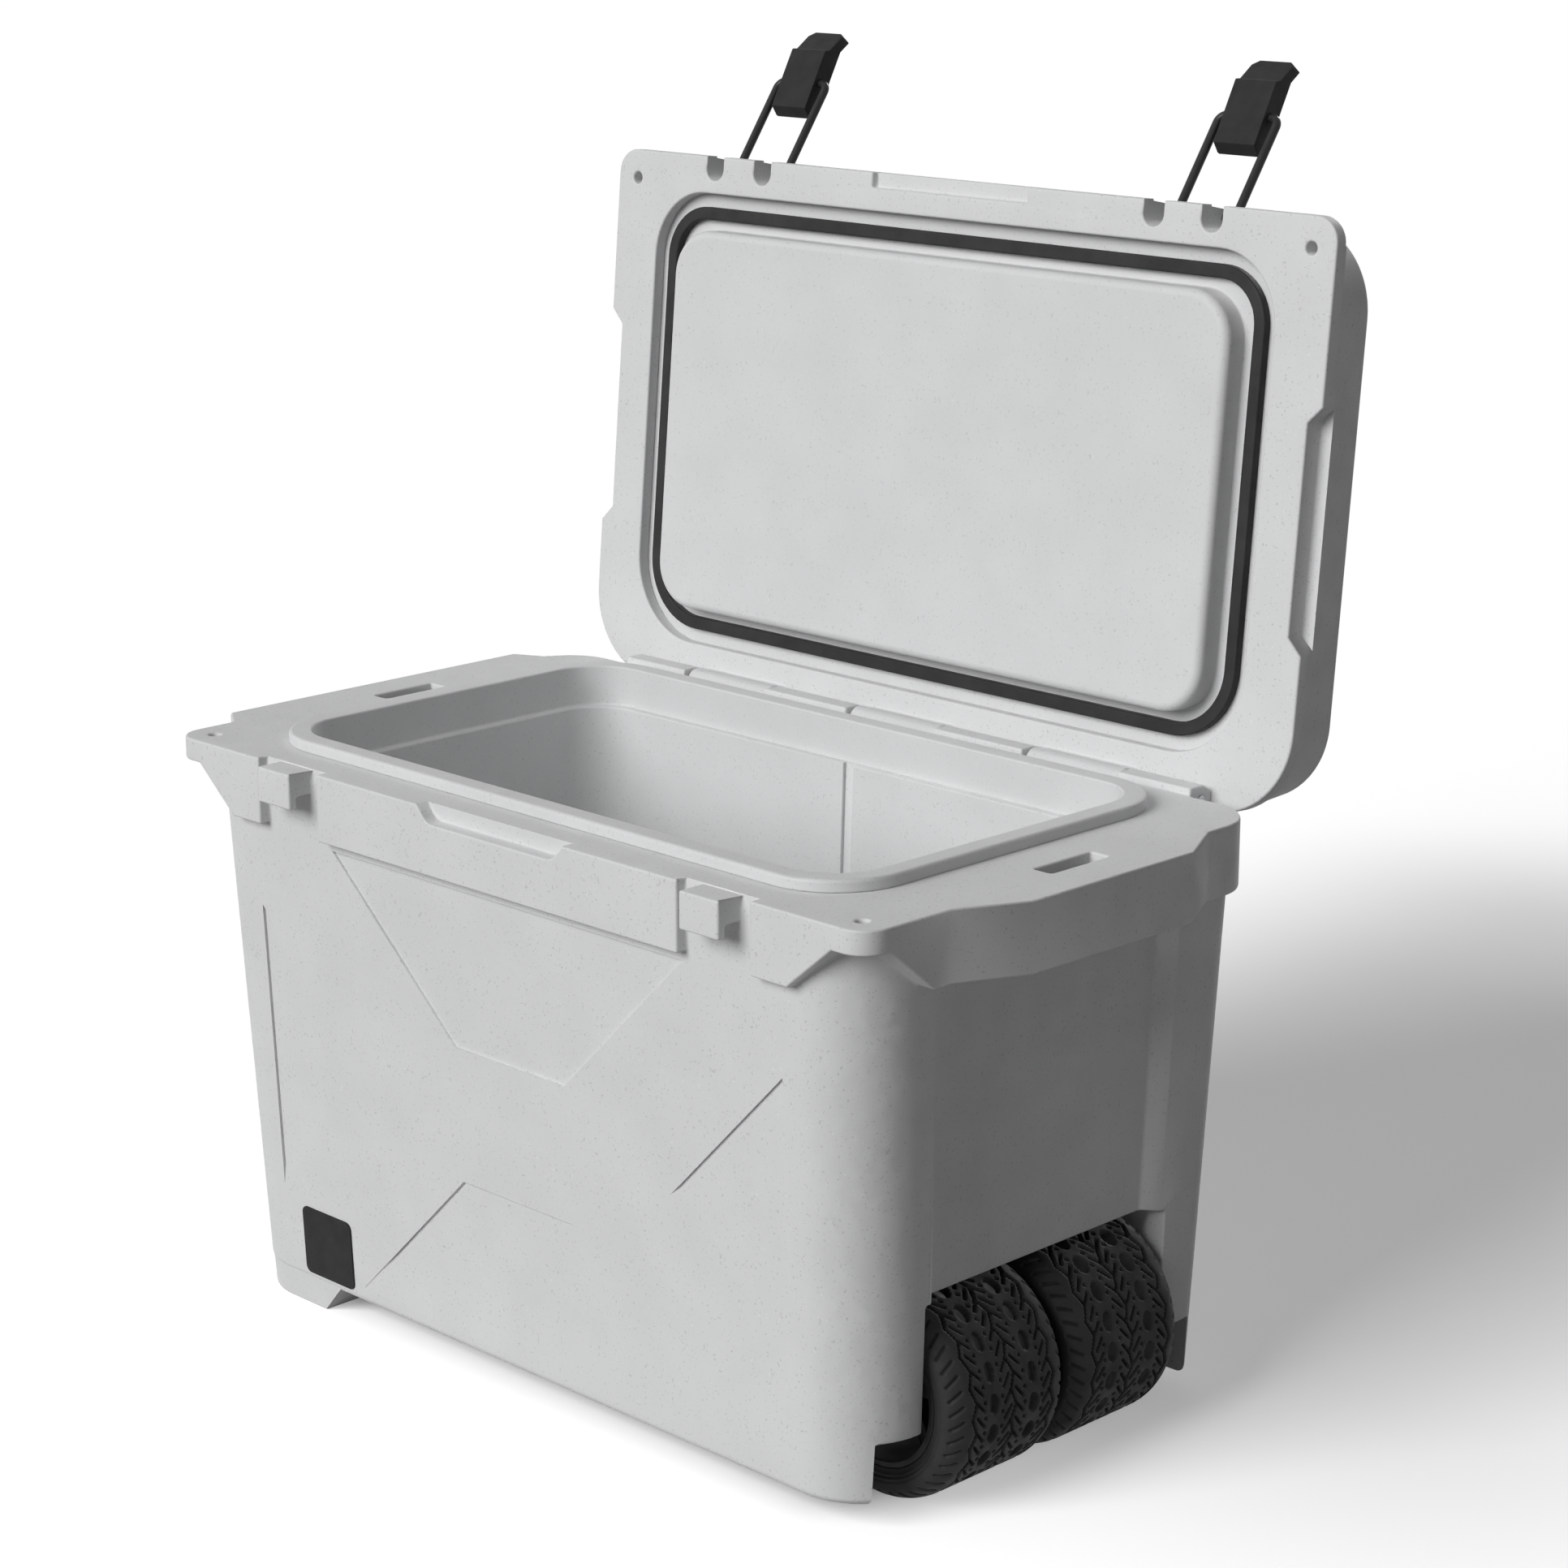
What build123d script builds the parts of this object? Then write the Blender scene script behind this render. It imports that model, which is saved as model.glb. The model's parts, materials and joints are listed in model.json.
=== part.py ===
from build123d import *
import math
import os

# Tub, all lengths in millimetres, floor at z = 0, wheels towards +X, hinge towards +Y
TUB_TOP = 466.0             # deck height above the floor
TUB_GROUND = 22.0           # underside of the tub above the floor
TOP_HALF_X = 369.0          # outer wall at the deck
TOP_HALF_Y = 213.0
BASE_HALF_X = 356.0         # outer wall at the underside
BASE_HALF_Y = 191.0
REAR_INSET = 6.5            # the rear wall stands nearer to the middle than the front wall
CORNER_R = 58.0             # front corners
REAR_CORNER_R = 30.0
SHELL_WALL = 5.0
DECK_T = 10.0
BASE_ROUND = 7.0            # rounding of the bottom edge
SEAT_GAP = 0.2              # room left between nested mouldings

# Flange around the deck with its ears, aprons and the two carrying wings
FLANGE_HALF_X = 384.0
FLANGE_FRONT = -220.0
FLANGE_REAR = 206.5
EAR_R = 22.0
FLANGE_REAR_R = 45.0
SKIRT = 54.0
EAR_T = 18.5
EAR_FRONT_X = (308.6, 352.0)        # the apron rises to the ear between these
EAR_SIDE_Y = (-150.0, -195.0)
WING_REACH = 410.0
RIGHT_WING_Y = (-136.0, -81.0, 91.0, 140.0)
LEFT_WING_Y = (-162.0, -145.0, 159.0, 172.0)
WING_WALL = 8.0
SLOT_X = (358.0, 375.0)             # tie-down slots through the wings
SLOT_Y = (-23.0, 39.0)
LOCK_X = 360.0
LOCK_Y = -198.0
LOCK_R = 5.0
SCOOP_HALF = 83.0
SCOOP_DEPTH = 13.0
SCOOP_BACK = -208.0
SCOOP_ROUND = 14.0

# End panels, wheel well and front brace pockets
PANEL_DEPTH = 13.0
PANEL_HALF_Y = 116.0
PANEL_SLOPE = 0.77
WELL_X = 214.0
WELL_TOP = 168.0
WELL_HALF_Y = 131.0
CUT_TOP = 70.0
CUT_HALF_Y = 168.5
BRACE_DEPTH = 2.2
BRACE_MID = 220.0
BRACE_TRAPEZOID = (197.0, 62.0, 184.0, 55.0)    # wide half, narrow half, far rise, near rise
BRACE_TRIANGLE = (293.0, 173.0, 120.0)          # base x, point x, half rise
FOOT_X = (-336.0, -252.0, -226.0)
FOOT_INNER_Y = 128.0
FOOT_INSET = 1.0

# Liner with its raised lip, basket ledge and divider grooves
MOUTH_HALF_X = 304.0
MOUTH_HALF_Y = 166.0
MOUTH_R = 44.0
LIP_W = 18.0
LIP_H = 10.0
LIP_ROUND = 3.0
LIP_SEAT = 6.0
LEDGE_DROP = 24.0
LEDGE_W = 7.0
LINER_WALL = 4.0
FLOOR_Z = 74.0
FLOOR_TAPER = 13.0
STEP_X = 186.0
STEP_Z = 204.0
GROOVE_W = 11.0
GROOVE_DEPTH = 4.0

# Hinge behind the rear edge of the deck
HINGE_Y = 220.0
HINGE_DROP = 6.0            # pin below the deck
PIN_R = 4.0
KNUCKLES = 7
KNUCKLE_PITCH = 96.0
HINGE_HALF = 313.0
KNUCKLE_GAP = 0.8
HINGE_TAIL = 10.0           # lid behind the pin
STOP_GAP = 0.4              # between the open lid and the flat backs of the tub's knuckles
RUN_FIT = 0.05              # radial room of a turning fit
LID_OPEN = 95.0

# Lid, drawn closed
LID_GAP = 6.2
LID_T = 58.0
LID_HALF_X = 383.0
LID_FRONT = -222.0
LID_EAR_T = 12.0
LID_EAR_R = 20.0
LID_REAR_R = 72.0
CROWN_FRONT_R = 75.0
CROWN_TAPER = 7.0
CROWN_ROUND = 6.0
LID_WALL = 4.0
RIM_T = 18.0
GRIP_DEPTH = 12.5
GRIP_HALF = 92.0
GRIP_Y = 7.5
GRIP_H = 18.0
PLUG_GAP = 5.5
PLUG_DROP = 11.0            # plug below the lid's underside
PLUG_ROUND = 7.0
CHANNEL_GAP = (10.5, 7.0)   # recess of the seal outside the lip, at the ends and along the front
CHANNEL_FRONT_R = 56.0
GASKET_EDGE = 11.5          # from the wall of the recess to the seal
GASKET_W = 10.5
GASKET_T = 7.4
GASKET_ROUND = 1.5
GASKET_GAP = 0.3
LINER_FLANGE = 4.0

# Over-centre latches
LATCH_X = 238.0
ROD_R = 3.5
LEG_SPACING = 56.0
LEG_NOTCH = 20.0
NOTCH_DEPTH = 20.0
STUB_GRIP = 10.0
BEND_R = 7.0
BAIL_PIVOT = (-212.0, 28.7)         # y, and height above the lid's underside
LEVER_PIVOT = (-222.0, -51.0)       # y, and height below the deck
BAIL_SWING = 113.2
LEVER_W = 39.5
LEVER_BACK = 7.7                    # faces of the lever from its pivot
LEVER_FRONT = 9.8
LEVER_DROP = 27.0                   # body below the pivot
LEVER_SHOULDER = (4.8, 2.4)         # step at the back from the body to the tab
NOSE_GAP = 0.6                      # room around the nose in its keeper
NOSE_TIP = 2.8
NOSE_BEVEL = 5.0
NOSE_ROOT = (14.0, 11.0)            # heights where the nose runs into the front face
TAB_LENGTH = 22.5
TAB_T = 9.5
TAB_ANGLE = 27.0
TAB_CHAMFER = 5.0
KEEPER_W = 39.3
KEEPER_REACH = -233.6
KEEPER_TOP = 1.0
KEEPER_DROP = 29.5
KEEPER_CEILING = 20.0
KEEPER_LIP = 7.0
LATCH_BAY = 36.3                    # half width of the gap in the apron
BAY_CHAMFER = (2.5, 10.0)           # depth and height of the slope that clears the rods

# Wheels
TYRE_R = 82.0
TYRE_W = 122.0
WHEEL_GAP = 8.0
WHEEL_X = 304.0
TREAD_HALF = 45.0
SHOULDER_RISE = (14.0, 5.0)         # where the shoulder starts and ends below the tread
SHOULDER_IN = 4.0
CARCASS = 9.0
RIM_R = 56.0
RIM_WALL = 5.0
RIM_LIP = 3.0
RIM_INSET = 4.0
HUB_R = 17.0
SPOKES = 6
SPOKE_W = 11.0
SPOKE_DEPTH = 60.0
BUSH_WALL = 3.0
AXLE_R = 6.0
AXLE_END_GRIP = 30.0
HUB_GAP = 0.2
SPACER_R = 13.0
TREAD_PITCHES = 22
GROOVE_HALF = 1.6
TREAD_GROOVE = 3.0
POCKET = (14.0, 8.0, 2.5)           # length round the tyre, width, depth
POCKET_ROW = 22.0

# Axle caps under the cheeks of the well
BOSS_HALF_X = 25.0
BOSS_RISE = 34.0
CAP_T = 14.0
CAP_Y = (136.0, 164.0)
SCREW_R = 2.5
SCREW_HEAD_R = 4.8
SCREW_HEAD_T = 3.0
SCREW_GRIP = 16.0
SCREW_SPACING = 34.0

# Drain low in the end away from the wheels
DRAIN_Z = 104.0
DRAIN_R = 12.0
DRAIN_BORE = 8.5
DRAIN_FLANGE_R = 21.0
DRAIN_FLANGE_T = 4.0
DRAIN_PAD_R = 24.0
DRAIN_PAD = 3.0
DRAIN_NUT_R = 18.0
DRAIN_NUT_T = 6.0
KNOB_R = 17.0
KNOB_T = 12.0
KNOB_LOBES = 8
PLUG_SHANK = 22.0
PLUG_PLAY = 0.3
SEAL_T = 2.0
SEAL_R = 14.0

LID_Z = TUB_TOP + LID_GAP
HINGE_Z = TUB_TOP - HINGE_DROP
KNUCKLE_R = LID_GAP + HINGE_DROP - STOP_GAP
LID_REAR = HINGE_Y + HINGE_TAIL
WHEEL_Y = WHEEL_GAP / 2 + TYRE_W / 2
FAR = 600.0                 # reach of a cutting block past everything
OVERCUT = 1.0               # how far a cut runs past the face that it opens


def span_box(x0, x1, y0, y1, z0, z1):
    """Box between two values on each axis."""
    middle = ((x0 + x1) / 2, (y0 + y1) / 2, (z0 + z1) / 2)
    return Pos(*middle) * Box(abs(x1 - x0), abs(y1 - y0), abs(z1 - z0))


def rounded_block(half_x, half_y, radius, z0, z1):
    """Upright block with rounded corners."""
    return extrude(Pos(0, 0, z0) * RectangleRounded(2 * half_x, 2 * half_y, radius), z1 - z0)


def prism_xz(points, y0, y1):
    """Outline in x and z, drawn out along y."""
    face = Plane.XZ * make_face(Polyline(*points, close=True))
    return Pos(0, max(y0, y1), 0) * extrude(face, abs(y1 - y0), dir=(0, -1, 0))


def prism_yz(points, x0, x1):
    """Outline in y and z, drawn out along x."""
    face = Plane.YZ * make_face(Polyline(*points, close=True))
    return Pos(min(x0, x1), 0, 0) * extrude(face, abs(x1 - x0), dir=(1, 0, 0))


def rod_x(x0, x1, y, z, radius):
    """Round bar along x."""
    return Pos((x0 + x1) / 2, y, z) * Rot(Y=90) * Cylinder(radius, abs(x1 - x0))


def rod_y(y0, y1, x, z, radius):
    """Round bar along y."""
    return Pos(x, (y0 + y1) / 2, z) * Rot(X=90) * Cylinder(radius, abs(y1 - y0))


def corner_plan(half_x, front, rear, front_r, rear_r):
    """Plan with one corner radius at the front and another at the rear."""
    plate = Pos(0, (rear - front) / 2) * Rectangle(2 * half_x, front + rear)
    plate = fillet(plate.vertices().group_by(Axis.Y)[0], front_r)
    return fillet(plate.vertices().group_by(Axis.Y)[-1], rear_r)


def wall_half(z):
    """Half length of the tub's outer wall at a height, and how far its front stands from the middle."""
    share = (z - TUB_GROUND) / (TUB_TOP - TUB_GROUND)
    half_x = BASE_HALF_X + share * (TOP_HALF_X - BASE_HALF_X)
    half_y = BASE_HALF_Y + share * (TOP_HALF_Y - BASE_HALF_Y)
    return half_x, half_y


def tub_block(z0, z1, inset_x=0.0, inset_y=0.0):
    """Drafted block that follows the tub's outer wall."""
    less = min(inset_x, inset_y)
    faces = []
    for z in (z0, z1):
        half_x, front = wall_half(z)
        plan = corner_plan(half_x - inset_x, front - inset_y, front - REAR_INSET - inset_y,
                           CORNER_R - less, REAR_CORNER_R - less)
        faces.append(Pos(0, 0, z) * plan)
    return loft(faces, ruled=True)


def end_recess(side, grow=0.0):
    """Recess of one end panel, with sloped cheeks, grown for the inside of the wall."""
    panel_x = wall_half(WELL_TOP)[0] - PANEL_DEPTH
    near, far = panel_x - PANEL_DEPTH, WING_REACH + PANEL_DEPTH
    half_near = PANEL_HALF_Y - PANEL_DEPTH * PANEL_SLOPE + grow
    half_far = PANEL_HALF_Y + (far - panel_x) * PANEL_SLOPE + grow
    plan = [(side * near, -half_near), (side * far, -half_far), (side * far, half_far),
            (side * near, half_near)]
    top = TUB_TOP - DECK_T
    wedge = extrude(make_face(Polyline(*plan, close=True)), top - WELL_TOP + grow)
    keep = tub_block(TUB_GROUND, TUB_TOP, PANEL_DEPTH + grow, 0)
    return Pos(0, 0, WELL_TOP - grow) * wedge - keep


def wheel_well(grow=0.0):
    """Room for the wheels: a tall box, and a lower wider one that opens the corners."""
    tall = span_box(WELL_X - grow, FAR, -WELL_HALF_Y - grow, WELL_HALF_Y + grow, -FAR, WELL_TOP + grow)
    low = span_box(WELL_X - grow, FAR, -CUT_HALF_Y - grow, CUT_HALF_Y + grow, -FAR, CUT_TOP + grow)
    return tall + low


def axle_bosses():
    """Solid cheeks that carry the ends of the axle."""
    bosses = []
    for side in (-1, 1):
        bosses.append(span_box(WHEEL_X - BOSS_HALF_X, WHEEL_X + BOSS_HALF_X, side * WELL_HALF_Y,
                               side * (CUT_HALF_Y + SHELL_WALL), CUT_TOP, CUT_TOP + BOSS_RISE))
    return bosses


def axle_slot(side):
    """Slot in a cheek that the axle drops into from below."""
    end = side * (WELL_HALF_Y + AXLE_END_GRIP + SEAT_GAP)
    inner = side * (WELL_HALF_Y - OVERCUT)
    slot = span_box(WHEEL_X - AXLE_R, WHEEL_X + AXLE_R, inner, end, 0, TYRE_R)
    return slot + rod_y(inner, end, WHEEL_X, TYRE_R, AXLE_R)


def screw_places(side):
    """Centres of the two screws of one axle cap."""
    cap_mid = (CAP_Y[0] + CAP_Y[1]) / 2
    return [(WHEEL_X + along * SCREW_SPACING / 2, side * cap_mid) for along in (-1, 1)]


def shell_void():
    """Hollow inside the outer shell, where the foam goes."""
    room = tub_block(TUB_GROUND + SHELL_WALL, TUB_TOP - DECK_T, SHELL_WALL, SHELL_WALL)
    room = room - wheel_well(SHELL_WALL)
    for side in (-1, 1):
        room = room - end_recess(side, SHELL_WALL)
    for boss in axle_bosses():
        room = room - boss
    drain_wall = span_box(-FAR, -wall_half(DRAIN_Z)[0] + SHELL_WALL + DRAIN_PAD, -DRAIN_PAD_R, DRAIN_PAD_R,
                          DRAIN_Z - DRAIN_PAD_R, DRAIN_Z + DRAIN_PAD_R)
    return room - drain_wall


def wing_plan(side, ys, inset=0.0):
    """Outline of one carrying wing."""
    root = FLANGE_HALF_X - EAR_R
    reach = WING_REACH - inset
    shift = (inset, inset, -inset, -inset)
    y = [value + step for value, step in zip(ys, shift)]
    slant = [(root, y[0]), (FLANGE_HALF_X - inset, y[0]), (reach, y[1]), (reach, y[2]),
             (FLANGE_HALF_X - inset, y[3]), (root, y[3])]
    return make_face(Polyline(*[(side * px, py) for px, py in slant], close=True))


def flange_plan():
    """Plan of the flange: tight front corners, wide rear corners, and the wings."""
    plate = corner_plan(FLANGE_HALF_X, -FLANGE_FRONT, FLANGE_REAR, EAR_R, FLANGE_REAR_R)
    return plate + wing_plan(1, RIGHT_WING_Y) + wing_plan(-1, LEFT_WING_Y)


def ear_undercut(side):
    """Cuts the skirt away under one front ear, with a slope on both faces."""
    bottom, ear = TUB_TOP - SKIRT - OVERCUT, TUB_TOP - EAR_T
    x0, x1 = EAR_FRONT_X
    y0, y1 = EAR_SIDE_Y
    slope = [(side * x0, bottom), (side * x1, ear), (side * FAR, ear), (side * FAR, bottom)]
    across = prism_xz(slope, -FAR, FAR)
    along = prism_yz([(y0, bottom), (y1, ear), (-FAR, ear), (-FAR, bottom)], -FAR, FAR)
    return across & along


def flange_hood():
    """Deck flange with aprons, ears and hollow wings."""
    hood = extrude(Pos(0, 0, TUB_TOP - SKIRT) * flange_plan(), SKIRT)
    for side, ys in ((1, RIGHT_WING_Y), (-1, LEFT_WING_Y)):
        hood = hood - ear_undercut(side)
        pocket = extrude(wing_plan(side, ys, WING_WALL), SKIRT)
        panel_x = TOP_HALF_X - PANEL_DEPTH
        root = span_box(side * panel_x, side * FLANGE_HALF_X, -PANEL_HALF_Y, PANEL_HALF_Y, 0, SKIRT)
        hood = hood - Pos(0, 0, TUB_TOP - SKIRT - DECK_T) * (pocket + root)
        bay = span_box(side * LATCH_X - LATCH_BAY, side * LATCH_X + LATCH_BAY, -FAR, 0, 0, FAR)
        hood = hood - bay
    return hood - tub_block(TUB_GROUND, TUB_TOP, SHELL_WALL / 2, SHELL_WALL / 2)


def thumb_scoop():
    """Finger scoop in the front edge of the deck."""
    low = TUB_TOP - SCOOP_DEPTH
    rim = TUB_TOP + OVERCUT
    outline = [(-SCOOP_HALF, rim), (SCOOP_DEPTH - SCOOP_HALF, low), (SCOOP_HALF - SCOOP_DEPTH, low),
               (SCOOP_HALF, rim)]
    scoop = prism_xz(outline, SCOOP_BACK, -FAR)
    return fillet(scoop.edges().filter_by(Axis.Y).group_by(Axis.Z)[0], SCOOP_ROUND)


def brace_pockets():
    """Shallow pockets that leave a wide X standing on the front and back walls."""
    wide, narrow, far, near = BRACE_TRAPEZOID
    base, point, rise = BRACE_TRIANGLE
    outlines = []
    for way in (-1, 1):
        outlines.append([(-wide, BRACE_MID + way * far), (wide, BRACE_MID + way * far),
                         (narrow, BRACE_MID + way * near), (-narrow, BRACE_MID + way * near)])
        outlines.append([(way * base, BRACE_MID - rise), (way * base, BRACE_MID + rise),
                         (way * point, BRACE_MID)])
    keep = tub_block(TUB_GROUND, TUB_TOP, 0, BRACE_DEPTH)
    return [prism_xz(outline, -FAR, FAR) - keep for outline in outlines]


def latch_keeper(side):
    """Hook under which a latch lever's nose catches."""
    back = -TOP_HALF_Y + SHELL_WALL / 2
    top, ceiling, low = TUB_TOP - KEEPER_TOP, TUB_TOP - KEEPER_CEILING, TUB_TOP - KEEPER_DROP
    lip = KEEPER_REACH + KEEPER_LIP
    hook = [(back, top), (KEEPER_REACH, top), (KEEPER_REACH, low), (lip, low), (lip, ceiling),
            (back, ceiling)]
    middle = side * LATCH_X
    return prism_yz(hook, middle - KEEPER_W / 2, middle + KEEPER_W / 2)


def bay_slope(side):
    """Slope on the front edge of the deck where the rods of one latch pass."""
    deep, high = BAY_CHAMFER
    foot, rim = TUB_TOP - high, TUB_TOP + OVERCUT
    face = -wall_half(foot)[1]
    middle = side * LATCH_X
    slope = [(face, foot), (-TOP_HALF_Y + deep, rim), (-FAR, rim), (-FAR, foot)]
    return prism_yz(slope, middle - LATCH_BAY, middle + LATCH_BAY)


def corner_feet():
    """Moulded feet under the end away from the wheels."""
    x_out, x_floor, x_top = FOOT_X
    top = TUB_GROUND + BASE_ROUND
    ramp = [(x_out - FAR, 0), (x_floor, 0), (x_top, top), (x_out - FAR, top)]
    legs = []
    for side in (-1, 1):
        leg = prism_xz(ramp, side * FOOT_INNER_Y, side * FAR)
        legs.append(leg & tub_block(0, top + BASE_ROUND, FOOT_INSET, FOOT_INSET))
    return legs


def knuckle_spans(owner):
    """Stretches of the hinge line that belong to the lid or to the tub."""
    spans = []
    last = KNUCKLES // 2
    for number in range(-last, last + 1):
        lids = number % 2 == 0
        if lids == (owner == "lid"):
            low = (number - 0.5) * KNUCKLE_PITCH if number > -last else -HINGE_HALF
            high = (number + 0.5) * KNUCKLE_PITCH if number < last else HINGE_HALF
            spans.append((low + KNUCKLE_GAP / 2, high - KNUCKLE_GAP / 2))
    return spans


def tub_knuckle(low, high):
    """Block behind the deck: round at the top, with a flat back that stops the open lid."""
    barrel = rod_x(low, high, HINGE_Y, HINGE_Z, KNUCKLE_R)
    root = span_box(low, high, FLANGE_REAR - SHELL_WALL / 2, HINGE_Y, HINGE_Z - KNUCKLE_R, TUB_TOP)
    front = span_box(low, high, FLANGE_REAR, HINGE_Y, HINGE_Z, HINGE_Z + KNUCKLE_R)
    back = span_box(low, high, 0, KNUCKLE_R, -KNUCKLE_R, 0)
    back = Pos(0, HINGE_Y, HINGE_Z) * Rot(X=90 - LID_OPEN) * back
    return barrel + root + front + back


def lid_knuckle(low, high):
    """Barrel under the rear of the lid, with the web that carries it."""
    barrel = rod_x(low, high, HINGE_Y, HINGE_Z, KNUCKLE_R)
    web = span_box(low, high, HINGE_Y - HINGE_TAIL, HINGE_Y + HINGE_TAIL, HINGE_Z, LID_Z + OVERCUT)
    return barrel + web


def outer_shell():
    """Outer moulding of the tub."""
    shell = tub_block(TUB_GROUND, TUB_TOP)
    shell = fillet(shell.edges().group_by(Axis.Z)[0], BASE_ROUND)
    for side in (-1, 1):
        shell = shell - end_recess(side)
    for pocket in brace_pockets():
        shell = shell - pocket
    for foot in corner_feet():
        shell = shell + foot
    shell = shell + flange_hood()
    pad = rod_x(drain_outer_x(), drain_outer_x() + DRAIN_PAD + SHELL_WALL, 0, DRAIN_Z, DRAIN_PAD_R)
    shell = shell + pad - shell_void() - wheel_well() - thumb_scoop()
    opening_x, opening_y = MOUTH_HALF_X + LIP_W - LIP_SEAT, MOUTH_HALF_Y + LIP_W - LIP_SEAT
    shell = shell - rounded_block(opening_x, opening_y, MOUTH_R + LIP_W - LIP_SEAT,
                                  TUB_TOP - SKIRT, TUB_TOP + OVERCUT)
    for side in (-1, 1):
        shell = shell - bay_slope(side) + latch_keeper(side)
        shell = shell - axle_slot(side)
        shell = shell - Pos(side * LOCK_X, LOCK_Y, TUB_TOP) * Cylinder(LOCK_R, 4 * EAR_T)
        slot = span_box(side * SLOT_X[0], side * SLOT_X[1], *SLOT_Y, TUB_TOP - SKIRT, TUB_TOP + OVERCUT)
        shell = shell - slot
        for x, y in screw_places(side):
            shell = shell - Pos(x, y, CUT_TOP) * Cylinder(SCREW_R, 2 * SCREW_GRIP)
    for low, high in knuckle_spans("tub"):
        shell = shell + tub_knuckle(low, high)
    shell = shell - rod_x(-HINGE_HALF, HINGE_HALF, HINGE_Y, HINGE_Z, PIN_R)
    return shell - rod_x(-FAR, 0, 0, DRAIN_Z, DRAIN_R + SEAT_GAP)


def chamber(grow=0.0):
    """Room inside the liner, grown to give its outside."""
    ledge = TUB_TOP - LEDGE_DROP
    upper = rounded_block(MOUTH_HALF_X + grow, MOUTH_HALF_Y + grow, MOUTH_R + grow, ledge - grow,
                          TUB_TOP + LIP_H)
    top_x, top_y = MOUTH_HALF_X - LEDGE_W + grow, MOUTH_HALF_Y - LEDGE_W + grow
    radius = MOUTH_R - LEDGE_W + grow
    faces = []
    grooved = []
    for z, taper in ((FLOOR_Z - grow, FLOOR_TAPER), (ledge, 0.0)):
        faces.append(Pos(0, 0, z) * RectangleRounded(2 * (top_x - taper), 2 * (top_y - taper), radius))
        grooved.append(Pos(0, 0, z) * Rectangle(GROOVE_W + 2 * grow, 2 * (top_y - taper + GROOVE_DEPTH)))
    room = upper + loft(faces, ruled=True) + loft(grooved, ruled=True)
    return room - span_box(STEP_X + grow, FAR, -FAR, FAR, -FAR, STEP_Z - grow)


def inner_liner():
    """Inner moulding of the tub, with the lip that the gasket meets."""
    lip = rounded_block(MOUTH_HALF_X + LIP_W, MOUTH_HALF_Y + LIP_W, MOUTH_R + LIP_W, TUB_TOP,
                        TUB_TOP + LIP_H)
    lip = fillet(lip.edges().group_by(Axis.Z)[-1], LIP_ROUND)
    body = lip + (chamber(LINER_WALL) & span_box(-FAR, FAR, -FAR, FAR, 0, TUB_TOP + LIP_H / 2))
    pad = rod_x(-MOUTH_HALF_X, drain_inner_x(), 0, DRAIN_Z, DRAIN_PAD_R)
    pad = pad & chamber(LINER_WALL)
    return body - chamber() + pad - rod_x(-FAR, 0, 0, DRAIN_Z, DRAIN_R + SEAT_GAP)


def drain_inner_x():
    """Flat seat of the drain nut inside the chamber."""
    share = (DRAIN_Z - DRAIN_PAD_R - FLOOR_Z) / (TUB_TOP - LEDGE_DROP - FLOOR_Z)
    return -(MOUTH_HALF_X - LEDGE_W - FLOOR_TAPER * (1 - share)) + DRAIN_PAD


def tub_foam():
    """Foam between the two mouldings."""
    gap = SEAT_GAP + SHELL_WALL
    foam = tub_block(TUB_GROUND + gap, TUB_TOP - DECK_T - SEAT_GAP, gap, gap)
    foam = foam - wheel_well(gap) - chamber(LINER_WALL + SEAT_GAP)
    for side in (-1, 1):
        foam = foam - end_recess(side, gap)
    for boss in axle_bosses():
        foam = foam - offset(boss, SEAT_GAP, kind=Kind.INTERSECTION)
    edge = -wall_half(DRAIN_Z)[0] + gap + DRAIN_PAD
    foam = foam - span_box(-FAR, edge, -DRAIN_PAD_R - SEAT_GAP, DRAIN_PAD_R + SEAT_GAP,
                           DRAIN_Z - DRAIN_PAD_R - SEAT_GAP, DRAIN_Z + DRAIN_PAD_R + SEAT_GAP)
    return foam - rod_x(-FAR, 0, 0, DRAIN_Z, DRAIN_R + SEAT_GAP)


def hinge_pin():
    """Long pin through all the knuckles."""
    return rod_x(-HINGE_HALF, HINGE_HALF, HINGE_Y, HINGE_Z, PIN_R)


def lid_plan(inset, front_r):
    """Plan of the lid, with its own corner radii at front and rear."""
    depth = LID_REAR - LID_FRONT - 2 * inset
    plate = Pos(0, (LID_REAR + LID_FRONT) / 2) * Rectangle(2 * (LID_HALF_X - inset), depth)
    plate = fillet(plate.vertices().group_by(Axis.Y)[0], front_r - min(inset, front_r / 2))
    return fillet(plate.vertices().group_by(Axis.Y)[-1], LID_REAR_R - inset)


def crown(inset, z0, z1):
    """Tapered crown of the lid."""
    faces = []
    for z in (z0, z1):
        taper = inset + CROWN_TAPER * (z - LID_Z) / LID_T
        faces.append(Pos(0, 0, z) * lid_plan(taper, CROWN_FRONT_R))
    return loft(faces, ruled=True)


def leg_places():
    """Middles of the four latch legs along the lid's front."""
    return [side * LATCH_X + way * LEG_SPACING / 2 for side in (-1, 1) for way in (-1, 1)]


def channel_top():
    """Height where a leg that leans back meets the top of its notch."""
    lean = bail_rest_lean()
    rise = (BAIL_PIVOT[0] - LID_FRONT) * math.tan(lean) + ROD_R / math.cos(lean)
    return LID_Z + BAIL_PIVOT[1] + rise + STOP_GAP


def bail_rest_lean():
    """Angle of a resting bail above the plane of the lid."""
    run = LEVER_PIVOT[0] - BAIL_PIVOT[0]
    drop = LID_GAP + BAIL_PIVOT[1] - LEVER_PIVOT[1]
    return math.radians(BAIL_SWING - 90) + math.atan2(-run, drop)


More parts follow.
